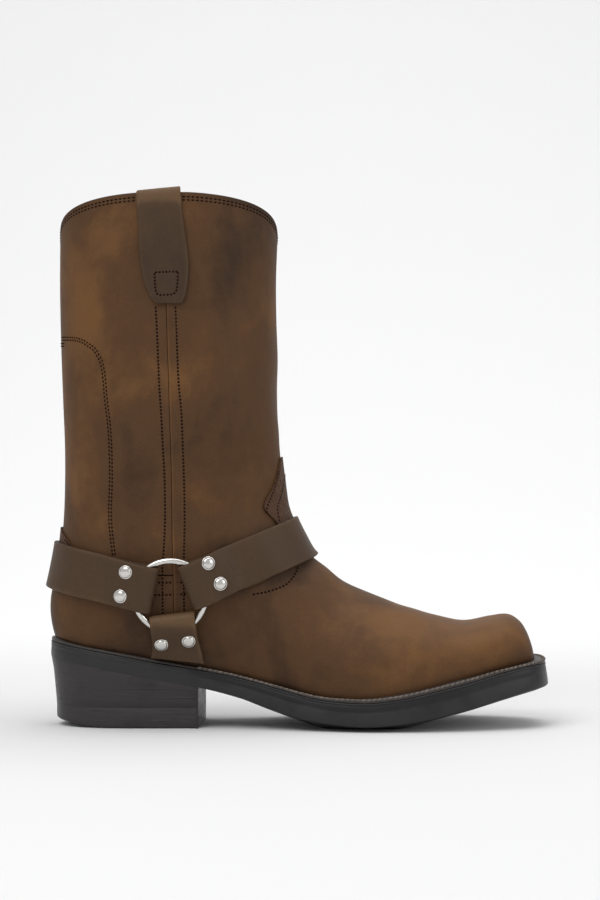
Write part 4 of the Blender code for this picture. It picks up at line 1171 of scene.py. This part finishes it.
# Height and half-width of the raised patches
VAMP_TAB = (
    (110, 18), (120, 20), (127, 22), (133, 25), (138, 24), (145, 19.5), (152, 14.5), (159, 9), (163.5, 5),
    (165, 2),
)
COUNTER_PEAK = ((104, 28), (110, 26.5), (115, 20), (119, 11), (121.5, 3))
SIDES = ((-1, "outer"), (1, "inner"))

FRAMES = {side: RingFrame(side) for side in (-1, 1)}
REAR = band_strap("rear_strap", FRAMES, REAR_STRAP)
FRONT = band_strap("front_strap", FRAMES, FRONT_STRAP)
for side, label in SIDES:
    low = lower_strap(f"lower_strap_{label}", FRAMES[side])
    ring_piece(f"ring_{label}", FRAMES[side])
    rivets(f"rivet_rear_{label}", FRAMES[side], REAR, REAR_STRAP, REAR_RIVETS, RETURN_END)
    rivets(f"rivet_front_{label}", FRAMES[side], FRONT, FRONT_STRAP, FRONT_RIVETS, RETURN_END)
    rivets(f"rivet_lower_{label}", FRAMES[side], low, LOWER_STRAP, LOWER_RIVETS, LOWER_RETURN_END)
    pull_strap(f"pull_strap_{label}", side)
overlay("vamp_tab_leather", VAMP_TAB, 1, ("vamp_tab",))
overlay("heel_counter_leather", COUNTER_PEAK, -1, ("heel_counter",))


# Sole


def closed_loop():
    """The feather line as one loop in plan: outer side to the heel's tip, inner side, and toe front."""
    pairs = feather_pairs()
    out, inn = pairs[0]
    pole = Vector(TOE_POLE)
    steps = [(t, Vector((TOE_BULGE * math.sin(math.pi * t), 0, 0))) for t in (0.25, 0.5, 0.75)]
    front_in = [inn.lerp(pole, t) + bulge for t, bulge in steps]
    front_out = [pole.lerp(out, t) + bulge for t, bulge in steps]
    return as_loop(pairs) + front_in + [pole] + front_out


def eased(loop, passes=6):
    """The loop with the kinks between its rows eased away."""
    array = as_array(loop)
    for _ in range(passes):
        array = 0.5 * array + 0.25 * (np.roll(array, 1, axis=0) + np.roll(array, -1, axis=0))
    return [Vector(p) for p in array]


def flare(x):
    return SIDE_FLARE * min(max((x - BREAST_X) / FLARE_LENGTH, 0.0), 1.0)


def edge_share(x, share):
    """How far the sole's lower edge is rounded: hardly over the heel, which lies flush with it."""
    return 1.0 if share < 1.0 else min(max((x - BREAST_X) / 6.0, 0.1), 1.0)


def outsole_tone(point):
    """Lighter behind, lighter along the top edge as a painted highlight, and darker in the lines of the
    side.
    """
    top = sole_at("top", point.x)
    share = (top - point.z) / max(top - under_level("under", point.x), 1.0)
    ahead = smooth_step(point.x, BREAST_X - 30.0, BREAST_X + 15.0)
    high, low = 0.8 - 1.3 * ahead, 0.8 - 0.6 * ahead
    # The top edge's 0.9 is a painted highlight on the ledge's upper face
    return 0.9 if share < 0.04 else high + (low - high) * smooth_step(share, 0.3, 0.46)


def make_outsole():
    """The outsole with the lines round its side, and its feather line."""
    feather = eased(closed_loop())
    loops = []
    for out, share, lift in OUTSOLE_PROFILE:

        def reach(x):
            return max(sole_at("ledge", x) + out * edge_share(x, share) + flare(x) * share, -4.0)

        loop = []
        for point in grown(feather, reach):
            top = sole_at("top", point.x)
            loop.append(with_z(point, top + (under_level("under", point.x) - top) * share + lift))
        loops.append(loop)
    low = []
    for point in loops[-1]:
        x = FOOT_MIDDLE_X + (point.x - FOOT_MIDDLE_X) * FLAT_LENGTH_SHARE
        low.append(Vector((x, point.y * FLAT_SHARE, under_level("floor", x))))
    loops.append(low)
    points = [p for loop in loops for p in loop]
    size = len(feather)
    faces = ring_faces(len(loops), size)
    start = (len(loops) - 1) * size
    last = 2 * (len(feather_pairs()) - 1)
    for a in range(last // 2):
        corners = (start + a, start + a + 1, start + last - a - 1, start + last - a)
        faces.append(tuple(dict.fromkeys(corners)))
    faces.append(tuple(start + k % size for k in range(last, size + 1)))
    piece = mesh_piece("outsole_rubber", points, faces, RUBBER, ("outsole",), sharp=50.0)
    turn_outwards(piece)
    add_tone(piece, [outsole_tone(point) for point in points])
    return feather


def heel_loop():
    """The heel's outline in plan: breast corner on the outer side, round the back, breast corner inside."""
    edge = grown(eased(closed_loop()), lambda x: sole_at("ledge", x))
    behind = [p for p in edge if p.x < BREAST_X - 1.0]
    first, last = behind[0], behind[-1]
    skewed = BREAST_X + BREAST_SKEW * (last.y - first.y)
    out = [Vector((BREAST_X - d, first.y + s, 0)) for d, s in BREAST_CORNER]
    inn = [Vector((skewed - d, last.y - s, 0)) for d, s in reversed(BREAST_CORNER)]
    across = [inn[-1].lerp(out[0], t) for t in np.linspace(0.0, 1.0, 9)[1:-1]]
    return out + [with_z(p, 0.0) for p in behind] + inn + across


def drawn_in(loop, distance):
    """The heel's outline drawn in by distance, towards its centre behind and less at the breast."""
    centre = Vector((HEEL_CENTRE_X, 0.0, 0.0))
    found = []
    for point in loop:
        away = Vector((min(point.x - centre.x, 0.0), point.y, 0.0)).normalized()
        if point.x > BREAST_X - 0.5:
            away = Vector((0.0, point.y * BREAST_DRAW, 0.0))
        found.append(point - away * distance)
    return found


def roll_level(x):
    share = (ROLL_START_X - x) / (ROLL_START_X - ROLL_END_X)
    return ROLL_HEIGHT * min(max(share, 0.0), 1.1) ** ROLL_POWER


def heel_piece(name, node, levels, loop):
    """levels: (inset, share from the seat to the lift's top, extra height, follows the rolled underside)."""
    loops = []
    for inset, share, extra, rolled in levels:
        ring = []
        for point in drawn_in(loop, inset):
            seat = seat_level(point.x) - GAP
            level = roll_level(point.x) if rolled else seat + (LIFT_TOP - seat) * share
            ring.append(with_z(point, level + extra))
        loops.append(ring)
    points = [p for ring in loops for p in ring]
    faces = ring_faces(len(loops), len(loop), caps=True)
    piece = mesh_piece(name, points, faces, HEEL, (node,), sharp=45.0)
    turn_outwards(piece)
    add_tone(piece, np.full(len(points), HEEL_TONE))


def make_heel():
    """The stacked heel and its lift, flush with each other and with the outsole."""
    loop = heel_loop()
    full = HEEL_INSET + HEEL_TAPER
    block = [(HEEL_INSET - 0.3, 0.0, GAP, False), (HEEL_INSET - 0.4, 0.0, GAP - 0.25, False)]
    block += [(HEEL_INSET + (HEEL_TAPER - HEEL_INSET) * s**0.8, s, 0.0, False) for s in (0.25, 0.5, 0.75)]
    block += [(HEEL_TAPER, 1.0, 0.06, False), (HEEL_TAPER + 0.03, 1.0, 0.03, False)]
    heel_piece("heel_stack", "heel_block", block, loop)
    lift = [(HEEL_TAPER + 0.03, 1.0, 0.03, False), (HEEL_TAPER, 1.0, -0.02, False)]
    lift += [(full - 0.55, 0.0, 1.0, True), (full - 0.4, 0.0, 0.4, True), (full + 0.2, 0.0, 0.0, True)]
    heel_piece("heel_lift", "heel_top_lift", lift, loop)


def make_welt(feather):
    """The welt strip, and the thread that is whipped along its forefoot."""
    outer = grown(feather, lambda x: sole_at("ledge", x) - WELT_SETBACK)
    inner = grown(feather, WELT_GAP)
    rings = []
    for base, near, far in zip(feather, inner, outer):
        low = sole_at("top", far.x) + GAP
        near_low = sole_at("top", near.x) + GAP
        edge = min(WELT_EDGE, WELT_EDGE_SHARE * (base.z - low))
        out = (far - near).normalized() * 0.35
        high = max(base.z - GAP, near_low + 0.4)
        rings.append(
            [with_z(near, near_low), with_z(far, low), with_z(far + out * 0.4, low + 0.5 * edge),
             with_z(far - out * 0.6, low + edge), with_z(near, high)]
        )
    loft("welt_strip", rings, WELT, ("welt",), closed=True, sharp=60.0)
    seats = grown(feather, lambda x: sole_at("ledge", x) - ROPE_INSET)
    path = []
    for base, point in zip(feather, seats):
        low = sole_at("top", point.x) + GAP
        path.append(with_z(point, low + min(WELT_EDGE, WELT_EDGE_SHARE * (base.z - low)) + 0.05))
    return path


# Stitches, seams and panel edges

# Holes and seam lines lie this far over the leather
LINE_LIFT = 0.07
HOLE_SHARE = 0.36
# How far the dark disc under a stitch reaches past its sides, a painted shadow round the stitch
HOLE_SHADOW_RIM = 0.16
HOLE_SIDES = 8
# A stitch's rounded bead: place along it and share of its width
BEAD_PROFILE = ((-1.0, 0.15), (-0.72, 0.8), (0.0, 1.0), (0.72, 0.8), (1.0, 0.15))
BEAD_SIDES = 6
# A panel's edge: share of its reach, share of its height
LAP_PROFILE = ((-0.02, -0.1), (0.0, 0.75), (0.12, 0.97), (0.3, 1.0), (0.5, 0.55), (0.75, 0.15), (1.0, -0.06))
STITCHES = {"dark": [], "rope": []}
HOLE_AND_SHADOW_DISCS = []


def tree_of(piece):
    shift = np.array(FRAME_SHIFT)
    points = [Vector(np.array(v.co) / MM - shift) for v in bpy.data.objects[piece].data.vertices]
    return BVHTree.FromPolygons(points, [tuple(f.vertices) for f in bpy.data.objects[piece].data.polygons])


def on_boot(px, py, side=-1, tree=None):
    """The point of a piece's skin that the picture position shows, or its twin on the inner side."""
    tree = tree or TREE
    toward = Vector(((px - PIXEL_CENTRE[0]) * PIXEL, -CAMERA_AT.y, (PIXEL_CENTRE[1] - py) * PIXEL))
    point, normal, _, _ = tree.ray_cast(CAMERA_AT, toward.normalized())
    if point is None:
        point, normal, _, _ = tree.find_nearest(CAMERA_AT + toward)
    if side > 0:
        twin, turned_normal, _, _ = tree.ray_cast(Vector((point.x, 300.0, point.z)), Vector((0, -1, 0)))
        if twin is None:
            twin, turned_normal, _, _ = tree.find_nearest(Vector((point.x, -point.y, point.z)))
        point, normal = twin, turned_normal
    away = Vector((0.0, float(side), 0.0))
    if abs(normal.y) < 0.05:
        away = Vector((1.0 if point.x > RING_X else -1.0, 0.0, 0.0))
    return point, normal if normal.dot(away) > 0 else -normal


def walk(samples, pitch):
    """(point, normal, direction) at even steps along a row of (point, normal) samples."""
    points, normals = as_array(p for p, _ in samples), as_array(n for _, n in samples)
    along = np.concatenate([[0.0], np.cumsum(np.linalg.norm(np.diff(points, axis=0), axis=1))])
    count = max(int(along[-1] / pitch), 1)
    found = []
    for k in range(count):
        places_at = [(k + t) * along[-1] / count for t in (0.3, 0.5, 0.7)]
        a, b, c = (np.array([np.interp(s, along, points[:, m]) for m in range(3)]) for s in places_at)
        normal = unit(np.array([np.interp(places_at[1], along, normals[:, m]) for m in range(3)]))
        found.append((b, normal, unit(c - a)))
    return found


def picture_path(pixels, side=-1, tree=None):
    line = spline([(x, y) for x, y in pixels], 2.0)
    return [on_boot(x, y, side, tree) for x, y in line]


def with_sideways(samples):
    """(point, normal, direction over the surface to the path's side) for each sample of a path."""
    for i, (point, normal) in enumerate(samples):
        along = samples[min(i + 1, len(samples) - 1)][0] - samples[max(i - 1, 0)][0]
        yield point, normal, along.cross(normal).normalized()


def shifted(samples, across):
    """The path moved sideways over the surface by across."""
    return [(point + sideways * across, normal) for point, normal, sideways in with_sideways(samples)]


def sew(samples, pitch, kind="dark", length=0.52, width=0.52, turn=0.0, holes=True):
    """Stitches along a path, over dark holes with a painted shadow round each stitch: length is a share of
    the pitch, and width a half-width.
    """
    for centre, normal, along in walk(samples, pitch):
        across = np.cross(normal, along)
        if turn:
            along = along * math.cos(turn) + across * math.sin(turn)
            across = np.cross(normal, along)
        STITCHES[kind].append((centre, along * pitch * length * 0.5, across * width, normal * width))
        if holes:
            seat = centre + normal * LINE_LIFT
            HOLE_AND_SHADOW_DISCS.append((seat, along * pitch * HOLE_SHARE, across * (width + HOLE_SHADOW_RIM)))


def stitch_mesh(name, stitches, finish):
    """All the stitches of one kind as one mesh of small rounded beads."""
    turns = circle(BEAD_SIDES)
    shape = np.array([(a, r * cosine, r * sine) for a, r in BEAD_PROFILE for cosine, sine in turns])
    bead = ring_faces(len(BEAD_PROFILE), BEAD_SIDES, caps=True)
    points, faces = [], []
    for centre, along, across, up in stitches:
        start = len(points)
        points.extend(centre + shape[:, :1] * along + shape[:, 1:2] * across + shape[:, 2:3] * up)
        faces.extend(tuple(start + v for v in face) for face in bead)
    mesh_piece(name, points, faces, finish, sharp=80.0)


def hole_and_shadow_mesh():
    """The dark holes under the stitches, with the painted shadow round each, as one mesh of flat discs."""
    points, faces = [], []
    for centre, along, across in HOLE_AND_SHADOW_DISCS:
        faces.append(tuple(range(len(points), len(points) + HOLE_SIDES)))
        points += [centre + along * cosine + across * sine for cosine, sine in circle(HOLE_SIDES)]
    mesh_piece("pinholes_and_shadows", points, faces, HOLE_AND_SHADE_DARK)


def lap(name, paths, height, reach, sign):
    """Panel edges: a low step along each path that eases back into the surface on one side, with a painted
    shadow line at its foot and a painted highlight on its crest.
    """
    points, faces, tones = [], [], []
    for samples in paths:
        faces += sheet_faces(len(samples), len(LAP_PROFILE), len(points))
        for point, normal, sideways in with_sideways(samples):
            for out, up in LAP_PROFILE:
                points.append(point + sideways * sign * out * reach + normal * height * up)
                # Painted shadow at the foot of the step, painted highlight on its crest, a little darker on
                # the slope back
                tones.append(-0.5 if out < 0.0 else (-0.1 if out > 0.2 else 0.35))
    piece = mesh_piece(name, points, faces, LEATHER, sharp=70.0)
    add_tone(piece, tones)


def groove(name, paths, width):
    """A thin dark line along each path, a painted shade in the seam's groove or at the foot of a panel's
    edge.
    """
    points, faces = [], []
    for samples in paths:
        faces += sheet_faces(len(samples), 2, len(points))
        for pair in zip(shifted(samples, -0.5 * width), shifted(samples, 0.5 * width)):
            points += [point + normal * LINE_LIFT for point, normal in pair]
    mesh_piece(name, points, faces, HOLE_AND_SHADE_DARK)


# Paths of seams, panel edges and stitch rows over the outer side, as pixels of the photo
SEAM = (
    (166.4, 300), (167.5, 340), (168.9, 380), (170, 420), (171, 450), (171.8, 480), (172.2, 520),
    (172.6, 550), (173.5, 585), (173.8, 618),
)
SEAM_ROWS = (
    ((155.6, 306), (157.4, 340), (159, 380), (161.5, 420), (163, 450), (164.6, 480), (165, 520),
     (163.6, 552), (162.4, 570), (162.8, 618)),
    ((175.2, 306), (176.8, 340), (178.5, 380), (181.5, 415), (182.5, 440), (184, 480), (184.6, 520),
     (184, 552), (183.4, 575), (184.4, 618)),
)
BACK_PANEL = (
    (60.5, 339), (66, 338.7), (75, 339.2), (82.6, 341.5), (88.5, 345), (95, 350), (98, 355.5), (101, 361),
    (103, 370), (104.5, 382), (106, 400), (109, 425), (110.5, 450), (111, 480), (110, 515), (112, 540),
    (114, 556),
)
VAMP_CURVE = ((299, 561), (296, 572), (289, 582), (280, 587.5), (266, 592), (252, 594.6))
VAMP_EDGE = ((296, 560), (285, 568.5), (268, 579.5), (250, 587.5), (232, 593), (215, 598))
RING_EDGE = ((150, 575.2), (160, 575.4), (182, 575.2), (194, 574))
RING_ROWS = (((150, 582.7), (184, 582.4), (194, 581.6)), ((150, 595), (172, 594.6), (194, 593.6)))
TAB_ROWS = (
    ((280.4, 468), (274.8, 488), (267.4, 506.5), (267.2, 512), (271.4, 522), (276, 530)),
    ((285.4, 474), (281.6, 494), (277.6, 508), (280, 522)),
)
COUNTER_ROWS = (((64.4, 534), (70, 540.5), (78, 549.5)), ((64.4, 539), (68, 543.5), (74, 550.5)))
PULL_BOX = (
    ((154.4, 272.4), (166, 271.9), (178.3, 271.5)),
    ((178.3, 271.5), (177.6, 281), (176.4, 290.6), (173, 294.2)),
    ((173, 294.2), (166, 294.8), (159, 294.8), (156, 292.4)),
    ((156, 292.4), (155, 283), (154.4, 272.4)),
)
# The stitched edge across the back: height, slope to the inner side, and how far it goes to each side
BACK_PANEL_HEIGHT = 234.5
BACK_PANEL_SLOPE = 0.05
BACK_PANEL_REACH = 18.0
# Stitch pitches, and places of the rows: across a double row, and down from the collar
SEAM_PITCH = 2.1
PANEL_PITCH = 2.3
PATCH_PITCH = 2.2
BOX_PITCH = 2.0
COLLAR_PITCH = 2.75
FINE_STITCH = 0.4
DOUBLE_ROW = (-0.85, 0.85)
COLLAR_ROWS = (2.5, 4.4)
ROPE_PITCH = 3.2
ROPE_TURN = 0.42
# Height and reach of the lapped edges, and the width of the dark line of painted shade along them
SEAM_LAP = (0.55, 5.0)
VAMP_LAP = (0.8, 6.0)
SEAM_LINE = 0.7


def collar_rows():
    """Two rows of stitches just below the collar's edge."""
    width = SURFACE.shape[1] - 1
    down = SURFACE[::-1, :width]
    along = np.cumsum(np.linalg.norm(np.diff(down, axis=0), axis=2), axis=0)
    for depth in COLLAR_ROWS:
        samples = []
        for j in list(range(width)) + [0]:
            line = np.concatenate([[0.0], along[:, j]])
            point = [np.interp(depth, line[:12], down[:12, j, m]) for m in range(3)]
            samples.append((Vector(point), Vector(NORMALS[-3, j])))
        sew(samples, COLLAR_PITCH, length=0.66, width=0.36)


def back_row(height):
    """A path across the back of the shaft, from the outer side to the inner side."""
    path = []
    for y in np.linspace(-BACK_PANEL_REACH, BACK_PANEL_REACH, 40):
        path.append(surface_hit(Vector((RING_X, y, height + BACK_PANEL_SLOPE * y)), Vector((-1, 0, 0))))
    return path


def sew_upper():
    """The seams, panel edges and stitch rows of the shaft, vamp, patches and pull straps."""
    tab, counter = tree_of("vamp_tab_leather"), tree_of("heel_counter_leather")
    seams, vamps, rings = [], [], []
    for side, label in SIDES:
        for row in SEAM_ROWS:
            sew(picture_path(row, side), SEAM_PITCH)
        panel = picture_path(BACK_PANEL, side)
        for across in DOUBLE_ROW:
            sew(shifted(panel, across), PANEL_PITCH, width=FINE_STITCH)
        sew(picture_path(VAMP_CURVE, side), PANEL_PITCH)
        for row in RING_ROWS:
            sew(picture_path(row, side), PATCH_PITCH)
        for tree, rows in ((tab, TAB_ROWS), (counter, COUNTER_ROWS)):
            for row in rows:
                sew(picture_path(row, side, tree), PATCH_PITCH, width=FINE_STITCH)
        strap = tree_of(f"pull_strap_{label}")
        for row in PULL_BOX:
            sew(picture_path(row, side, strap), BOX_PITCH)
        seams.append(picture_path(SEAM, side))
        vamps.append(picture_path(VAMP_EDGE, side))
        rings.append(picture_path(RING_EDGE, side))
    groove("seam_lines", seams + vamps + rings, SEAM_LINE)
    for name, paths, size, turn in (("seam", seams, SEAM_LAP, 1), ("vamp", vamps, VAMP_LAP, -1)):
        for (side, label), path in zip(SIDES, paths):
            lap(f"{name}_lap_{label}", [path], *size, side * turn)
    collar_rows()
    for across in DOUBLE_ROW:
        sew(back_row(BACK_PANEL_HEIGHT + across), PANEL_PITCH, width=FINE_STITCH)


def sew_welt(path):
    """The thread whipped along the welt, ahead of the heel's breast."""
    ahead = [(p, Vector((0, 0, 1))) for p in path]
    count = len(feather_pairs())
    start = next(i for i, (p, _) in enumerate(ahead[:count]) if p.x < BREAST_X)
    end = 2 * count - 2 - start
    forefoot = ahead[end:] + ahead[: start + 1]
    sew(forefoot, ROPE_PITCH, "rope", length=1.2, width=0.78, turn=ROPE_TURN, holes=False)


FEATHER = make_outsole()
make_heel()
WELT_PATH = make_welt(FEATHER)
sew_upper()
sew_welt(WELT_PATH)
stitch_mesh("stitches", STITCHES["dark"], THREAD)
stitch_mesh("welt_rope", STITCHES["rope"], ROPE)
hole_and_shadow_mesh()

frame["nodes"]["insole"].data.materials.clear()
frame["nodes"]["insole"].data.materials.append(INSOLE)


# Floor, light and camera

# The floor sweeps up behind the boot: all in metres
SWEEP_START = 0.9
SWEEP_RADIUS = 1.2
BACK_TOP = 5.0
FLOOR_HALF_WIDTH = 5.0
WORLD_STRENGTH = 0.62
# Name, place, point it looks at, size and power of each soft lamp
LAMPS = (
    ("key", (-0.7, -1.1, 1.5), (0, 0, 0.12), 1.1, 14.0),
    ("top", (0.2, 0.2, 1.9), (0, 0, 0.1), 1.4, 16.0),
    ("side", (1.6, -0.9, 0.8), (0, 0, 0.12), 0.9, 6.0),
)


def floor_paper():
    """A pale floor that sweeps up behind the boot and grows lighter to the back."""
    turns = np.linspace(0.1, 0.5 * math.pi, 14)
    profile = [(y, 0.0) for y in (-4.0, 0.1, 0.4, 0.7, SWEEP_START)]
    profile += [(SWEEP_START + SWEEP_RADIUS * math.sin(a), SWEEP_RADIUS * (1 - math.cos(a))) for a in turns]
    profile.append((SWEEP_START + SWEEP_RADIUS, BACK_TOP))
    points = [(x, y, z) for y, z in profile for x in (-FLOOR_HALF_WIDTH, FLOOR_HALF_WIDTH)]
    mesh = bpy.data.meshes.new("floor")
    mesh.from_pydata(points, [], sheet_faces(len(profile), 2))
    mesh.shade_smooth()
    paper = Finish("floor_paper", 0.9, specular=0.1)
    paper.colour(paper.ramp(paper.tone(), ((0.0, (0.72, 0.72, 0.723)), (1.0, (0.93, 0.93, 0.933)))))
    mesh.materials.append(paper.material)
    floor = link("floor", mesh)
    add_tone(floor, [min(max((y - 0.1) / SWEEP_START, 0.0), 1.0) for _, y, _ in points])


def studio():
    """Soft light from above and the front, and the camera."""
    scene = bpy.context.scene
    scene.world = bpy.data.worlds.new("studio")
    scene.world.use_nodes = True
    sky = scene.world.node_tree.nodes["Background"].inputs
    sky["Color"].default_value = (1.0, 1.0, 1.0, 1.0)
    sky["Strength"].default_value = WORLD_STRENGTH
    for name, place, target, size, power in LAMPS:
        data = bpy.data.lights.new(name, "AREA")
        data.size = size
        data.energy = power
        lamp = link(name, data)
        lamp.location = place
        lamp.rotation_euler = (Vector(target) - Vector(place)).to_track_quat("-Z", "Y").to_euler()
    data = bpy.data.cameras.new("camera")
    data.lens = CAMERA_LENS
    camera = link("camera", data)
    camera.location = (CAMERA_AT + FRAME_SHIFT) * MM
    camera.rotation_euler = (0.5 * math.pi, 0.0, 0.0)
    scene.camera = camera
    scene.view_settings.view_transform = "Standard"


floor_paper()
studio()
